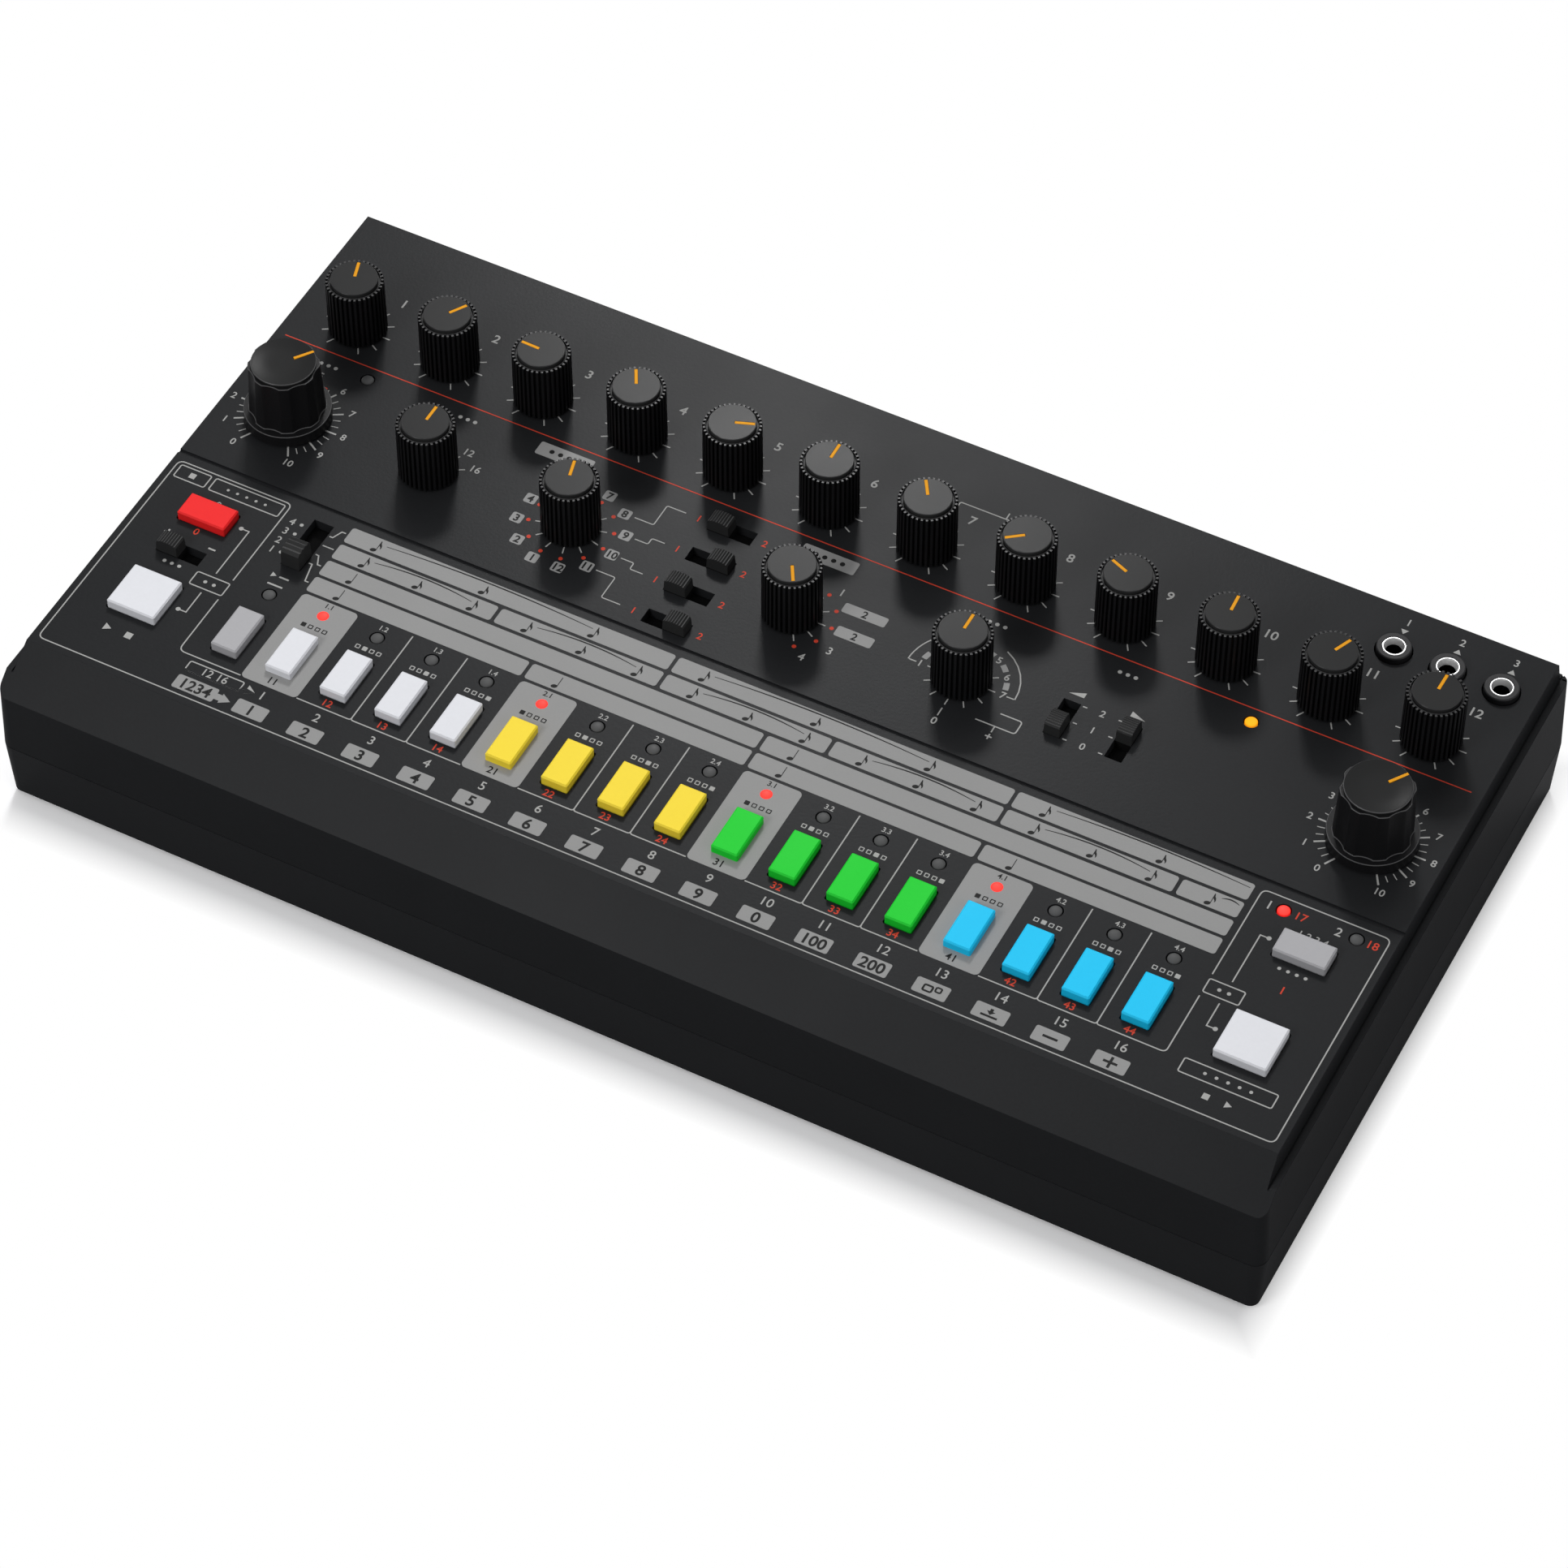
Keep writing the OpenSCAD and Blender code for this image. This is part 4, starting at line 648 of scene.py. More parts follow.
def place_knob(node, parts, turn):
    """Copy a knob's parts onto a CAD knob, turned to its rest, with the CAD knob's own shaft."""
    x, y, _ = middle_of(node)
    made = []
    for part, material in parts:
        piece = copy_to(part, node + "_" + part.name.split("_")[1], (x, y, PANEL), turn)
        # Faces marked for the painted highlight keep their index through the repaint.
        bright = [face.material_index for face in piece.data.polygons]
        paint(piece, material, node)
        piece.data.materials.append(edge_plastic if node in LARGE_REST else rim_plastic)
        piece.data.polygons.foreach_set("material_index", bright)
        made.append(piece)
    for solid in solids_of(node):
        if spans(solid)[0][2] > PANEL - KNOB_SOLID_DEPTH:
            bpy.data.objects.remove(solid)
            continue
        finish_solid(solid, node + "_shaft", 0.1, 1, tinned_metal, node)
        made.append(solid)
    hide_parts(node)
    return len(made)


small_parts = [(skirt, knob_plastic), (cap, cap_plastic), (pointer, pointer_paint)]
large_parts = [(large_skirt, knob_plastic), (large_cap, large_cap_plastic), (large_pointer, pointer_paint)]
small_rest = {"level_knob_%d" % (i + 1): turn for i, turn in enumerate(LEVEL_REST)}
knob_pieces = 0
for node, turn in (small_rest | SELECTOR_REST).items():
    knob_pieces += place_knob(node, small_parts, turn)
for node, turn in LARGE_REST.items():
    knob_pieces += place_knob(node, large_parts, turn)
for pattern, _ in small_parts + large_parts:
    bpy.data.objects.remove(pattern)
print("knob pieces placed:", knob_pieces)

# %% [markdown]
# ## The slide caps
# The cap of a slide switch has fine ridges across its domed top, and it stands on a plate that
# closes the slot below the panel. The slope of a ridge that faces the lamp is painted paler: a painted
# highlight.

# %% Slide caps
slide_names = ["voice_switch_%d" % (n + 1) for n in range(4)]
slide_names += ["variation_switch", "scale_switch", "fade_in_switch", "fade_out_switch"]
for node in slide_names:
    slide = solids_of(node)[0]
    slide.name = slide.data.name = node + "_cap"
    paint(slide, switch_plastic, node)
    slide.data.materials.append(ridge_plastic)
    slide.data.materials.append(slot_plastic)
    for face in slide.data.polygons:
        # Ridge slopes that face the lamp get the painted highlight.
        lamp_facing = face.normal.z > 0.3 and face.normal.y - face.normal.x > 0
        # Faces below the panel, the plate in the slot, get the dark finish: painted shade.
        face.material_index = 2 if face.center.z < (PANEL - 0.3) * MM else int(lamp_facing)
    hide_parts(node)
print("slide caps:", len(slide_names))

# %% [markdown]
# ## Indicators
# Each indicator is a 3 mm lamp whose low dome stands just above the panel, on a round spacer. The
# dome is turned once with a few rings, and copied to each place with the colour of its state.
# The four beats of the bar, the selected start of a pattern and the amber ready lamp are lit.

# %% Indicator lenses
LENS_R, FLANGE_R, LENS_FOOT, LENS_RISE, LENS_TOP = 1.45, 1.75, 42.1, 0.42, 42.52
stem = [(LENS_R, 30.9), (LENS_R, 37.0), (FLANGE_R, 37.0), (FLANGE_R, 38.0), (LENS_R, 38.0)]
dome = [(LENS_R * math.cos(math.radians(a)), LENS_FOOT + LENS_RISE * math.sin(math.radians(a)))
        for a in (0, 18, 36, 52, 66, 78)]
lens = turned("lens", stem + dome + [(0, LENS_TOP)], 40)
soften(lens, 0.03, 1, 60)
red_places = [(KEY_X[i], LED_Y) for i in BEATS] + [(124.7, -11.9)]
dark_places = [(x, LED_Y) for i, x in enumerate(KEY_X) if i not in BEATS]
dark_places += [(CANCEL_X, LED_Y), (-123.2, 32.3), (141.4, -11.9)]
for group, material, places in [("red_lens", red_glow, red_places),
                                ("amber_lens", amber_glow, [(97.0, 32.3)]),
                                ("dark_lens", clear_lens, dark_places)]:
    for i, (x, y) in enumerate(places):
        piece = copy_to(lens, "%s_%d" % (group, i + 1), (x, y, 0))
        paint(piece, material, "case")
bpy.data.objects.remove(lens)
SPACER_LIMIT = 40
spacers = []
for solid in solids_of("indicator_leds"):
    if spans(solid)[1][2] > SPACER_LIMIT:
        bpy.data.objects.remove(solid)
        continue
    spacers.append(solid)
select_only(*spacers)
bpy.ops.object.join()
finish_solid(bpy.context.active_object, "lens_spacers", 0.1, 1, lens_spacer, "case")
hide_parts("indicator_leds")

# %% [markdown]
# ## Jacks and sockets
# The jacks are black bodies with a bright ring in the mouth. The ring is told from the body by its
# small height and its place high in the collar. On the panel it is seen from close by, so it is
# turned again with a finer throat, whose bore is dark below the metal.

# %% Panel jacks
LIP, THROAT_R, THROAT_DEPTH, RING_FOOT = 0.05, 1.9, 1.6, 35
mouth = turned("mouth_ring", [(2.67, -4.07), (2.67, -0.15), (2.57, -0.05), (2.32, -0.05),
                              (1.88, -1.6), (1.86, -1.7)], 128)
cut(mouth, turned("bore", [(1.82, -5), (1.82, 1)], 96))
soften(mouth, 0.03, 2, 40)
for i, solid in enumerate(sorted(solids_of("panel_jacks"), key=lambda o: spans(o)[0][0])):
    low, high = spans(solid)
    number = i // 2 + 1
    if low[2] > RING_FOOT:
        bpy.data.objects.remove(solid)
        x, y = [(a + b) / 2 for a, b in zip(low[:2], high[:2])]
        solid = copy_to(mouth, "panel_jack_ring_%d" % number, (x, y, high[2] + LIP))
        paint(solid, throat_metal, "case")
        solid.data.materials.append(black_plastic)
        for face in solid.data.polygons:
            inside = math.hypot(face.center.x / MM - x, face.center.y / MM - y) < THROAT_R
            face.material_index = int(inside and face.center.z / MM < high[2] - THROAT_DEPTH)
    else:
        finish_solid(solid, "panel_jack_body_%d" % number, 0.08, 2, black_plastic, "case")
    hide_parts("panel_jacks")
bpy.data.objects.remove(mouth)
print("panel jacks ready")

# %% Rear sockets
BACK_FACE_Y, RING_DEPTH, RING_WIDTH, PIN_WIDTH = 79, 4.5, 9, 2.4
counts = {}
for solid in solids_of("rear_sockets"):
    low, high = spans(solid)
    wide, deep, tall = [b - a for a, b in zip(low, high)]
    kind = "body"
    if abs(wide - tall) < 0.3 and deep < RING_DEPTH and high[1] > BACK_FACE_Y and wide < RING_WIDTH:
        kind = "ring"
    if wide < PIN_WIDTH and tall < PIN_WIDTH:
        kind = "pin"
    counts[kind] = counts.get(kind, 0) + 1
    finish_solid(solid, "rear_socket_%s_%d" % (kind, counts[kind]), 0.08, 2,
                 black_plastic if kind == "body" else bright_metal, "case")
    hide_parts("rear_sockets")
print("rear sockets split:", counts)

# %% [markdown]
# ## Printed markings
# The markings on such a panel are screen printed: flat films of ink, a few hundredths of a
# millimetre thick, with crisp edges. A picture of the print would be an image texture, and it would
# blur in a close view. So every mark is a flat filled curve with a very small thickness, made into
# a mesh. The films of one ink are joined. Where two inks lie over each other, the upper one is a
# little higher. No words are printed: plain numbers, dots, arrows and simple signs stand in their
# places.

# %% Inks
light_ink = finish("light_ink", (0.40, 0.40, 0.39), (0.5, 0.6), 0.2, 2600, 0.1, 0, 0.1)
grey_ink = finish("grey_ink", (0.305, 0.305, 0.303), (0.5, 0.6), 0.2, 2600, 0.08, 0, 0.1)
red_ink = finish("red_ink", (0.60, 0.055, 0.028), (0.5, 0.6), 0.2, 2600, 0.1, 0, 0.1)
dark_ink = finish("dark_ink", (0.010, 0.010, 0.010), (0.5, 0.6), 0.2, 2600, 0.1, 0, 0.1)
STROKE = 0.3
LINE_TOP, FIELD_TOP, MARK_TOP = 0.03, 0.045, 0.075
print("four inks, films of", LINE_TOP, FIELD_TOP, MARK_TOP, "mm")

# %% [markdown]
# A film is drawn from outlines: lists of points in millimetres, seen from above. An outline inside
# another one is a hole, as in a frame. A line is an outline too: both of its sides are walked, one
# out and one back. Corners are eased with a small arc, as the real artwork has them.

# %% Outlines
def arc(x, y, r, start, end, steps=6):
    """Points on an arc, with its angles in degrees."""
    angles = [math.radians(start + (end - start) * i / steps) for i in range(steps + 1)]
    return [(x + r * math.cos(a), y + r * math.sin(a)) for a in angles]


def rounded(x0, y0, x1, y1, r, steps=5):
    """Outline of a box with round corners."""
    return (arc(x1 - r, y1 - r, r, 0, 90, steps) + arc(x0 + r, y1 - r, r, 90, 180, steps)
            + arc(x0 + r, y0 + r, r, 180, 270, steps) + arc(x1 - r, y0 + r, r, 270, 360, steps))


def box_frame(x0, y0, x1, y1, r=0.3, w=STROKE):
    """Outer and inner outline of a thin frame."""
    return [rounded(x0, y0, x1, y1, r + w), rounded(x0 + w, y0 + w, x1 - w, y1 - w, r)]


def dot(x, y, r):
    return arc(x, y, r, 0, 340, 17)


def dots_row(x, y, count, pitch, r=0.35):
    return [dot(x + (i - (count - 1) / 2) * pitch, y, r) for i in range(count)]


def eased(points, r):
    """The same open line with each inner corner replaced by a short arc of points."""
    made = [points[0]]
    for before, here, after in zip(points, points[1:], points[2:]):
        b, h, a = Vector(before), Vector(here), Vector(after)
        come, go = (b - h), (a - h)
        reach = min(r, come.length / 2.01, go.length / 2.01)
        p, q = h + come.normalized() * reach, h + go.normalized() * reach
        for i in range(6):
            t = i / 5
            made.append(tuple(p * (1 - t) ** 2 + h * 2 * t * (1 - t) + q * t ** 2))
    return made + [points[-1]]


def line(points, w=STROKE):
    """Outline of an open line: its left side out, and its right side back."""
    left, right = [], []
    for i, here in enumerate(points):
        h = Vector(here)
        go = (Vector(points[i + 1]) - h).normalized() if i + 1 < len(points) else None
        come = (h - Vector(points[i - 1])).normalized() if i else go
        go = go or come
        along = (come + go).normalized()
        across = Vector((-along.y, along.x)) * (w / 2 / max(0.4, along.dot(go)))
        left.append(tuple(h + across))
        right.append(tuple(h - across))
    return left + right[::-1]


def ray(x, y, angle, near, far, w=STROKE):
    """A short straight mark that points at a centre."""
    c, s = math.cos(math.radians(angle)), math.sin(math.radians(angle))
    return line([(x + near * c, y + near * s), (x + far * c, y + far * s)], w)


def around(x, y, r, angle):
    return (x + r * math.cos(math.radians(angle)), y + r * math.sin(math.radians(angle)))

def thick_arc(x, y, near, far, start, end):
    return arc(x, y, far, start, end) + arc(x, y, near, end, start)


print("outline tools ready")

# %% Signs
def box(x0, y0, x1, y1):
    return [(x0, y0), (x1, y0), (x1, y1), (x0, y1)]


def stop_sign(x, y, size):
    h = size / 2
    return box(x - h, y - h, x + h, y + h)


def play_sign(x, y, size):
    h = size / 2
    return [(x - h * 0.8, y - h), (x + h, y), (x - h * 0.8, y + h)]


def minus_sign(x, y, h, w=0.22):
    return box(x - h, y - w, x + h, y + w)


def plus_sign(x, y, h, w=0.22, tall=0.9):
    """A plus with arms of half length h across and tall upwards."""
    return [(x - h, y - w), (x - w, y - w), (x - w, y - tall), (x + w, y - tall), (x + w, y - w),
            (x + h, y - w), (x + h, y + w), (x + w, y + w), (x + w, y + tall), (x - w, y + tall),
            (x - w, y + w), (x - h, y + w)]


def arrow(start, neck, tip, heights):
    """An arrow to the right. The five heights rise from the low barb to the high one."""
    low, under, middle, over, high = heights
    return [(start, under), (neck, under), (neck, low), (tip, middle), (neck, high), (neck, over),
            (start, over)]


print("sign outlines ready")

# %% From outlines to a film of ink
def add_flat(ink, name, data, x, y, top):
    """Place a flat curve so that it reaches from just inside the panel to its top above it."""
    data.extrude = (top + 0.01) / 2 * MM
    made = bpy.data.objects.new(name, data)
    made.location = (x * MM, y * MM, (PANEL + (top - 0.01) / 2) * MM)
    scene.collection.objects.link(made)
    ink.append(made)


def lay(ink, outlines, top=LINE_TOP):
    """Add a film of filled outlines to an ink."""
    curve = bpy.data.curves.new("film", "CURVE")
    curve.dimensions = "2D"
    curve.fill_mode = "BOTH"
    for outline in outlines:
        spline = curve.splines.new("POLY")
        spline.points.add(len(outline) - 1)
        for point, (x, y) in zip(spline.points, outline):
            point.co = (x * MM, y * MM, 0, 1)
        spline.use_cyclic_u = True
    add_flat(ink, "film", curve, 0, 0, top)


def write(ink, text, x, y, height, bold=0.03, top=LINE_TOP):
    """Add plain figures or signs to an ink, centred on a point, with the height of a figure."""
    font = bpy.data.curves.new("figure", "FONT")
    font.body = text
    font.size = height / 0.69 * MM
    font.align_x = "CENTER"
    font.offset = bold * MM
    font.resolution_u = 4
    add_flat(ink, "figure", font, x, y - height / 2, top)


def print_ink(name, flat_pieces, material):
    """Turn films and figures into one mesh of one ink, lying on the upper case."""
    select_only(*flat_pieces)
    bpy.ops.object.convert(target="MESH")
    bpy.ops.object.join()
    piece = bpy.context.active_object
    bpy.ops.object.transform_apply(location=True, rotation=True, scale=True)
    bpy.ops.object.mode_set(mode="EDIT")
    bpy.ops.mesh.select_all(action="SELECT")
    bpy.ops.mesh.remove_doubles(threshold=0.0000005)
    bpy.ops.mesh.normals_make_consistent(inside=False)
    bpy.ops.object.mode_set(mode="OBJECT")
    piece.name = piece.data.name = name
    paint(piece, material, "case")
    print(name, "has", len(piece.data.polygons), "faces")
    return piece


light, grey, red, dark = [], [], [], []

# %% [markdown]
# ### The lower frame
# A thin frame runs round the step keys. It opens at the two small boxes at its sides. Under the
# keys it dips into a cell for each key, and the first key of each group of four stands on a light
# field instead.

# %% Frame and key cells
FIELD_HALF, CELL_TOP, CELL_LOW = 7.05, -30.1, -57.1
FRAME_LEFT, FRAME_RIGHT, GAP_LOW, GAP_TOP = -118.7, 118.5, -40.5, -34.2
frame_line = [(FRAME_LEFT, GAP_TOP), (FRAME_LEFT, -8.7), (-148, -8.7), (-148, -68),
              (147.9, -68), (147.9, -8.7), (FRAME_RIGHT, -8.7), (FRAME_RIGHT, GAP_TOP)]
lay(light, [line(eased(frame_line, 1.6))])
middles = [x - 0.15 for x in KEY_X]
fields, walls, floors = [], [], []
for i in BEATS:
    left, right_side = middles[i] - FIELD_HALF, middles[i] + FIELD_HALF
    fields.append(rounded(left, CELL_LOW - 0.2, right_side, CELL_TOP, 1.2))
    for j in (1, 2, 3):
        start = right_side if j == 1 else (middles[i + j - 1] + middles[i + j]) / 2
        end = (middles[i + j] + middles[i + j + 1]) / 2 if j < 3 else middles[i] + 4 * PITCH - FIELD_HALF
        path = [(start, CELL_LOW), (end, CELL_LOW)]
        if j > 1:
            path.insert(0, (start, CELL_LOW + 1.4))
            walls.append(line([(start, CELL_TOP), (start, CELL_LOW + 1.2)]))
        if j < 3:
            path.append((end, CELL_LOW + 1.4))
        elif i == BEATS[-1]:
            path[1:] = [(start, CELL_LOW), (FRAME_RIGHT, CELL_LOW), (FRAME_RIGHT, GAP_LOW)]
        floors.append(line(eased(path, 1.2)))
first_floor = [(FRAME_LEFT, GAP_LOW), (FRAME_LEFT, CELL_LOW), (middles[0] - FIELD_HALF, CELL_LOW)]
floors.append(line(eased(first_floor, 1.6)))
lay(light, walls, LINE_TOP + 0.004)
lay(light, floors[::2])
lay(light, floors[1::2], LINE_TOP + 0.002)
lay(grey, fields, FIELD_TOP)
print(len(fields), "fields,", len(walls), "walls,", len(floors), "cell floors")

# %% [markdown]
# ### The note bars
# Between the groove and the keys lie four rows of light bars, one for each time scale. Each row
# shows which steps make its notes: small and large notes with slurs between them.

# %% Note bars
BAR_ROWS = [(-13.05, -8.4, [-21.25, 60.95]),
            (-18.4, -13.9, [-62.45, -21.25, 19.85, 60.95, 102.1]),
            (-23.9, -19.3, [6.1]),
            (-29.3, -24.7, [-48.65, 6.1, 60.95])]
bars = []
for low, high, gaps in BAR_ROWS:
    ends = [-103.1] + [v for g in gaps for v in (g - 0.45, g + 0.45)] + [116.7]
    bars += [rounded(x0, low, x1, high, 0.7) for x0, x1 in zip(ends[::2], ends[1::2])]
lay(grey, bars, FIELD_TOP)


def note(x, y, height, flag):
    """Outline of one note: a leaning oval head, a stem at its right and a flag at the stem's top."""
    lean, long, thick = math.radians(20), 0.74, 0.50
    head = []
    for i in range(15):
        a = math.radians(12 + i * 336 / 14)
        u, v = long * math.cos(a), thick * math.sin(a)
        head.append((x + u * math.cos(lean) - v * math.sin(lean),
                     y + u * math.sin(lean) + v * math.cos(lean)))
    s0, s1, top = x + 0.52, x + 0.68, y + height
    tail = [(0, 0)]
    if flag:
        tail = [(0, -1.25), (0.45, -1.75), (0.6, -2.3), (0.75, -1.75), (0.6, -1.2), (0.25, -0.7), (0.02, 0)]
    return head + [(s1, y)] + [(s1 + u, top + v) for u, v in tail] + [(s0, top), (s0, y + 0.35)]


def slur(x0, x1, y, rise):
    """A thin arc that is thickest in its middle."""
    upper, lower = [], []
    for i in range(13):
        t = i / 12
        lift = rise * 4 * t * (1 - t)
        upper.append((x0 + (x1 - x0) * t, y + lift + 0.03 + 0.2 * math.sin(math.pi * t)))
        lower.append((x0 + (x1 - x0) * t, y + lift - 0.09))
    return upper + lower[::-1]

NOTES = [(-12.1, 3.0, True, (1, 5, 7, 11, 13)), (-12.1, 2.3, True, (3, 9, 15)),
         (-17.5, 3.0, True, (1, 3, 4, 6, 7, 9, 10, 12, 13, 15, 16)), (-17.5, 2.3, True, (2, 5, 8, 11, 14)),
         (-22.95, 3.0, False, (1, 9)), (-28.4, 3.0, False, (1, 5, 9, 13))]
notes = [note(middles[k - 1], y, height, flag) for y, height, flag, keys in NOTES for k in keys]
SLURS = [(1, 5, -9.95, 0.95), (7, 11, -9.95, 0.95), (13, 0, -9.6, 0.7)]
SLURS += [(a, a + 2, -15.35, 0.95) for a in (1, 4, 7, 10, 13)] + [(16, 0, -15.0, 0.4)]
slurs = [slur(middles[a - 1] + 2.3, middles[b - 1] - 0.5 if b else 115.9, y, rise) for a, b, y, rise in SLURS]
lay(dark, notes, MARK_TOP)
lay(dark, slurs, MARK_TOP + 0.003)
print(len(bars), "bars,", len(notes), "notes,", len(slurs), "slurs")

# %% [markdown]
# ### Marks at the keys
# Over each indicator stands its place in the bar, over each key a row of four little squares that
# shows its place in its group, and under each key the beat and the step in red. On the light fields
# these marks are dark. Below the cells come the step numbers, and light tabs with second numbers.

# %% Marks at the keys
squares_light, squares_dark, tabs = [], [], []
for i, x in enumerate(middles):
    beat, step = i // 4 + 1, i % 4 + 1
    ink, top, squares = (dark, MARK_TOP, squares_dark) if step == 1 else (light, LINE_TOP, squares_light)
    write(ink, "%d.%d" % (beat, step), x + 0.1, -31.15, 1.3, 0.02, top)
    for j in range(4):
        left = x - 3.0 + 1.75 * j
        squares.append(rounded(left, -38.65, left + 1.15, -37.5, 0.15, 2))
        if j != step - 1:
            squares.append(rounded(left + 0.22, -38.43, left + 0.93, -37.72, 0.1, 2))
    write(dark if step == 1 else red, "%d%d" % (beat, step), x, -55.35, 1.8, 0.03, top)
    write(light, str(i + 1), x + 0.15, -60.0, 2.25, 0.02)
    tabs.append(rounded(x - 3.85, -66.75, x + 3.9, -62.8, 0.5))
lay(light, squares_light)
lay(dark, squares_dark, MARK_TOP)
lay(grey, tabs, FIELD_TOP)
TAB_SIGNS = ["1", "2", "3", "4", "5", "6", "7", "8", "9", "0", "100", "200"]
for x, sign in zip(middles, TAB_SIGNS):
    write(dark, sign, x, -64.8, 2.7, 0.09, MARK_TOP)
w, x, y, z = middles[12:]
signs = box_frame(w - 1.9, -65.9, w + 0.5, -63.9, 0.1, 0.45)
signs += box_frame(w + 0.75, -65.2, w + 2.4, -63.6, 0.1, 0.4)
signs += [box(x - 1.9, -65.9, x + 1.9, -65.4),
          [(x - 0.35, -63.6), (x + 0.35, -63.6), (x + 0.35, -64.3), (x + 0.95, -64.3), (x, -65.2),
           (x - 0.95, -64.3), (x - 0.35, -64.3)]]
signs += [box(y - 1.7, -65.1, y + 1.7, -64.5), plus_sign(z, -64.8, 1.6, 0.3, 1.5)]
lay(dark, signs, MARK_TOP)
print(len(tabs), "tabs with", len(TAB_SIGNS), "numbers and four signs")

# %% Arrows at the left of the tabs
lay(light, box_frame(-114.8, -61.5, -100.9, -58.4, 0.3)
    + [arrow(-100.9, -99.7, -97.6, (-61.3, -60.35, -60.1, -59.75, -58.7))])
lay(grey, [rounded(-114.9, -66.7, -104.7, -62.8, 0.5)], FIELD_TOP)
lay(grey, [arrow(-104.75, -103.4, -101, (-66.2, -65.6, -64.8, -63.9, -63.4))], FIELD_TOP - 0.003)
write(light, "12 16", -107.8, -59.95, 2.0, 0.02)
write(dark, "1234", -109.8, -64.75, 2.7, 0.08, MARK_TOP)
print("arrows drawn")

# %% [markdown]
# ### The side boxes
# The boxes at both ends of the key row hold the clear key and the start key at the left, and the
# pattern key and the write key at the right. Dots with thin leaders join a key to its second box.

# %% Side boxes
DOT_X, TURN_X, DOT_Y = 125.05, 123.05, (-20.15, -46.95)
sides = []
for corners in ((-147, -13.55, -138.8, -9.5), (-137.9, -13.55, -119.7, -9.5),
                (-127.1, -39.5, -118.5, -35.3), (118.4, -39.4, 126.9, -35.3), (122.5, -60.4, 143.9, -56.3)):
    sides += box_frame(*corners)
for side in (-1, 1):
    for y, end in zip(DOT_Y, (GAP_TOP, GAP_LOW)):
        sides.append(line([(side * DOT_X, y), (side * TURN_X, y), (side * TURN_X, end)]))
lay(light, sides)
lay(light, [dot(side * DOT_X, y, 0.55) for side in (-1, 1) for y in DOT_Y], LINE_TOP + 0.006)
small_signs = [stop_sign(-142.9, -11.55, 1.5)] + dots_row(-128.8, -11.55, 5, 2.4)
small_signs += [plus_sign(-139, -28.5, 0.9), minus_sign(-127.6, -28.5, 0.9)]
small_signs += dots_row(-133.3, -36.1, 3, 1.9, 0.45) + dots_row(-122.8, -37.4, 2, 2.2, 0.45)
small_signs += [play_sign(-136.0, -58.6, 2.0), stop_sign(-130.6, -58.6, 1.7)]
small_signs += dots_row(122.65, -37.35, 2, 2.2, 0.45) + dots_row(133.2, -58.35, 5, 2.6, 0.4)
small_signs += dots_row(133.2, -26.4, 4, 2.0, 0.42)
small_signs += [stop_sign(130.6, -63.6, 1.5), play_sign(135.6, -63.6, 1.7)]
lay(light, small_signs, LINE_TOP + 0.004)
for ink, text, x, y, height, bold in (
        (light, "0", -133.3, -16.4, 1.8, 0.03), (light, "1 2 3 4", 133.2, -16.0, 1.7, 0.02),
        (light, "1", 121.4, -11.9, 2.2, 0.03), (light, "2", 137.3, -11.9, 2.2, 0.03),
        (red, "17", 128.6, -11.9, 2.0, 0.03), (red, "18", 145.0, -11.9, 2.0, 0.03),
        (red, "0", -133.4, -25.5, 1.8, 0.03), (red, "1", 133.2, -31.4, 2.0, 0.03)):
    write(ink, text, x, y, height, bold)
print("side boxes with", len(small_signs), "small signs")

# %% [markdown]
# ### The time scale switch
# Four rows are numbered from the bottom, each with a dot, and leaders join them to the rows of
# note bars.

# %% Time scale marks
SCALE_ROWS = (-13.05, -16.05, -19.1, -22.1)
leaders = [[(-106.5, -13.1), (-105.7, -13.1), (-104.7, -10.7), (-103.7, -10.7)],
           [(-106.5, -16.1), (-103.7, -16.1)],
           [(-106.5, -19.1), (-105.7, -19.2), (-104.6, -21.6), (-103.7, -21.6)],
           [(-106.5, -22.05), (-105.7, -22.05), (-104.6, -27), (-103.7, -27)]]
lay(light, [line(path) for path in leaders])
lay(light, [dot(-113.7, y, 0.45) for y in SCALE_ROWS])
for i, y in enumerate(SCALE_ROWS):
    write(light, str(4 - i), -116, y, 1.9, 0.02)
lay(light, [play_sign(-111.6, -28.6, 1.4), minus_sign(-109.0, -28.6, 1.2), minus_sign(-109.8, -31.2, 1.9)])
print("time scale has", len(leaders), "leaders")

# %% [markdown]
# ### The level row
# Every level knob has a scale of eleven strokes and the number of its voice. Each jack at the
# right has a number, and a small triangle that points at an input and away from an output.

# %% Level scales
strokes = []
for i, x in enumerate(LEVEL_X):
    for angle in range(-60, 241, 30):
        strokes.append(ray(x, LEVEL_Y, angle, 6.4, 8.3))
    write(light, str(i + 1), x + 5.6, 57.0, 2.4, 0.05)
lay(light, strokes)
lay(red, [line([(-147.1, 35.95), (146.9, 35.95)], 0.28)])
lay(light, [line(eased([(12.9, 59.6), (12.9, 60.85), (35.5, 60.85), (35.5, 59.6)], 0.5))])
lay(light, [line([(24.15, 61.0), (24.15, 62.75)])], LINE_TOP + 0.004)
for x, up in zip(JACK_X, (-1, 1, 1)):
    lay(light, [[(x - 0.9, 71.2 - up * 0.6), (x + 0.9, 71.2 - up * 0.6), (x, 71.2 + up * 0.75)]])
for i, x in enumerate(JACK_X):
    write(light, str(i + 1), x, 74.1, 1.9)
print(len(strokes), "strokes and", len(LEVEL_X), "numbers at the level knobs")

# %% [markdown]
# ### The row below
# The large knobs have scales from 0 to 10, the selectors a numbered place for each step.

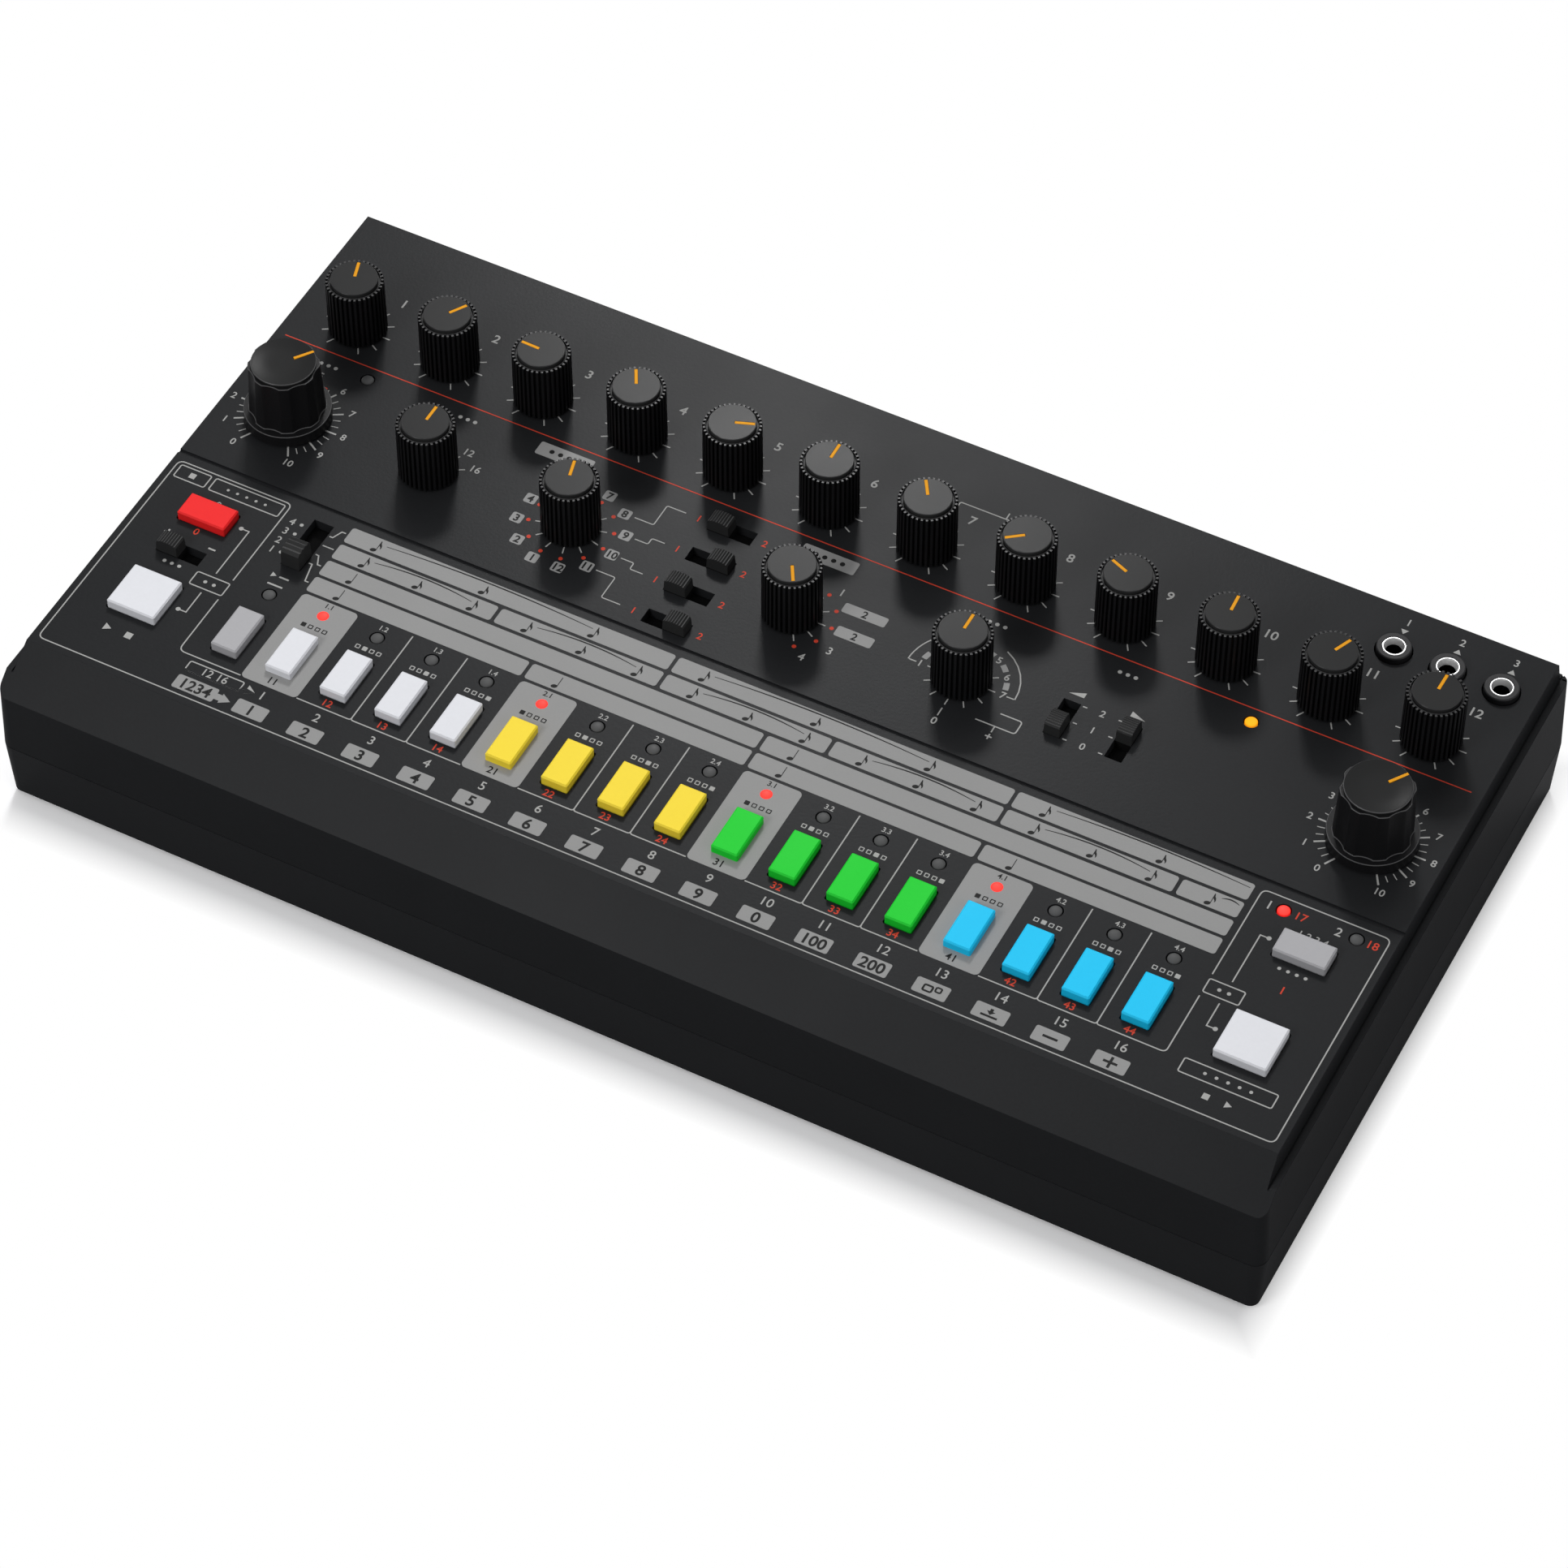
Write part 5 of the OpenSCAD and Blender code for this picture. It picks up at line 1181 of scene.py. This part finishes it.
# %% Large knobs
major, minor = [], []
for x in (-SIDE_X, SIDE_X):
    for n in range(11):
        angle = 240 - 30 * n
        write(light, str(n), *around(x, ROW_Y, 14.3, angle), 1.8)
        major.append(ray(x, ROW_Y, angle, 9.5, 12.4, 0.42))
        if n < 10:
            minor += [ray(x, ROW_Y, angle - 10 * m, 10.2, 11.9, 0.22) for m in (1, 2)]
lay(light, major)
lay(light, minor, LINE_TOP - 0.004)
lay(red, [ray(-SIDE_X, ROW_Y, 75, 10.9, 12.0, 0.8)])
for x in (-SIDE_X, MEASURE_X, SIDE_X):
    lay(light, dots_row(x, 32, 3, 1.9, 0.5))
print(len(major), "long and", len(minor), "short strokes at the large knobs")

# %% Selectors
TICK_R, TICK_END, TRACK_BOX = 6.3, 8.2, 1.42
ticks = [ray(MEASURE_X, ROW_Y, a, 6.5, 8.15) for a in (60, 30)]
for label, angle in (("12", 60), ("16", 30)):
    write(light, label, *around(MEASURE_X, ROW_Y, 10.4, angle), 1.9)
lay(grey, [rounded(-78.75, 30.1, -65, 34, 0.5), rounded(-12, 30.1, 1.6, 34, 0.5)], FIELD_TOP)
lay(dark, dots_row(-71.9, 32.05, 4, 2.2, 0.6) + dots_row(-5.2, 32.05, 4, 2.2, 0.6), MARK_TOP)
voice_boxes, red_dots = [], []
for n in range(1, 13):
    angle = 285 - 30 * n
    cx, cy = around(TRACK_X, ROW_Y, 12.45, angle)
    voice_boxes.append(rounded(cx - TRACK_BOX, cy - TRACK_BOX, cx + TRACK_BOX, cy + TRACK_BOX, 0.5))
    write(dark, str(n), cx, cy, 1.9, 0.07, MARK_TOP)
    red_dots.append(dot(*around(TRACK_X, ROW_Y, 9.8, angle), 0.5))
    ticks.append(ray(TRACK_X, ROW_Y, angle, TICK_R, TICK_END))
lay(grey, voice_boxes, FIELD_TOP)
voice_leaders = [[(-49.25, 23.15), (-44.5, 23.15), (-44.5, 29.6), (-39.75, 29.6)],
                 [(-46.15, 17.5), (-42.85, 17.5), (-42.85, 19.4), (-39.65, 19.4)],
                 [(-46.15, 11.1), (-42.9, 11.1), (-42.9, 9.15), (-39.65, 9.15)],
                 [(-49.35, 5.45), (-44.5, 5.45), (-44.5, -1.05), (-39.75, -1.05)]]
lay(light, [line(eased(path, 0.5), 0.25) for path in voice_leaders])
for y in (29.5, 19.3, 9.1, -1.1):
    write(red, "1", -36.4, y, 1.8)
    write(red, "2", -19.9, y, 1.8)
for angle in (60, 30, 0, -30, -60):
    ticks.append(ray(MODE_X, ROW_Y, angle, TICK_R, TICK_END))
    red_dots.append(dot(*around(MODE_X, ROW_Y, 9.75, angle), 0.5))
for label, x, y in (("1", 1.9, 24.6), ("3", 7.2, 8.2), ("4", 2.5, 3.9)):
    write(light, label, x, y, 2.0)
lay(grey, [rounded(4, 19.6, 14.6, 22.45, 0.5), rounded(5.6, 12.75, 14.6, 15.75, 0.5)], FIELD_TOP)
for x, y in ((9.3, 21.05), (10.1, 14.25)):
    write(dark, "2", x, y, 1.9, 0.05, MARK_TOP)
lay(red, red_dots)
print(len(voice_boxes), "voice boxes,", len(red_dots), "red dots")

# %% [markdown]
# The fill selector has its numbers inside a thin arc, with thick arcs between the first of them.
# The two fade switches stand at its right and show their three places as figures.

# %% Fill selector and fades
FADE_Y = (19.4, ROW_Y, 9.1)
fill_angles = (0, 30, 60, 90, 120, 150, 180, 210, 240, 270, -30, -60)
ticks += [ray(FILL_X, ROW_Y, a, 6.4, 8.2) for a in fill_angles]
for n in range(7):
    write(light, str(n + 1), *around(FILL_X, ROW_Y, 10.0, 180 - 30 * n), 1.8, 0.04)
lay(light, [thick_arc(FILL_X, ROW_Y, 12.75, 13.05, 180, 147), thick_arc(FILL_X, ROW_Y, 12.75, 13.05, 65, 0),
            line([(47.1, ROW_Y), (48.9, ROW_Y)]), line([(23.5, ROW_Y), (25.3, ROW_Y)])])
lay(grey, [thick_arc(FILL_X, ROW_Y, 9.3, 10.6, a - 9, a - 21) for a in (180, 150, 120, 90, 60, 30)])
lay(light, [line([(FILL_X, 5.0), (FILL_X, 2.6)])])
write(light, "0", FILL_X, 1.0, 1.9, 0.04)
lay(light, [line(eased([(48.1, 9.3), (53.4, 9.3), (53.4, 5.5), (43.9, 5.5)], 0.8))])
lay(light, [line([(48.6, 5.35), (48.6, 3.65)])], LINE_TOP + 0.004)
write(light, "+", 48.6, 2.3, 2.2, 0.04)
for label, y in zip("210", FADE_Y):
    write(light, label, 67.75, y, 1.8)
fades = [[(58.6, 21.6), (62.2, 21.6), (62.2, 23.1)], [(73.2, 23.1), (73.2, 21.6), (76.8, 21.6)]]
for x, angle in zip(FADE_X, (0, 180)):
    fades += [ray(x, y, angle, 2.6, 3.6) for y in FADE_Y]
lay(light, fades)
lay(light, ticks)
lay(light, dots_row(FILL_X, 32, 3, 1.9, 0.5) + dots_row(67.75, 32, 3, 1.9, 0.5))

prints = [print_ink("light_print", light, light_ink), print_ink("grey_print", grey, grey_ink),
          print_ink("red_print", red, red_ink), print_ink("dark_print", dark, dark_ink)]
print("inks:", [piece.name for piece in prints])
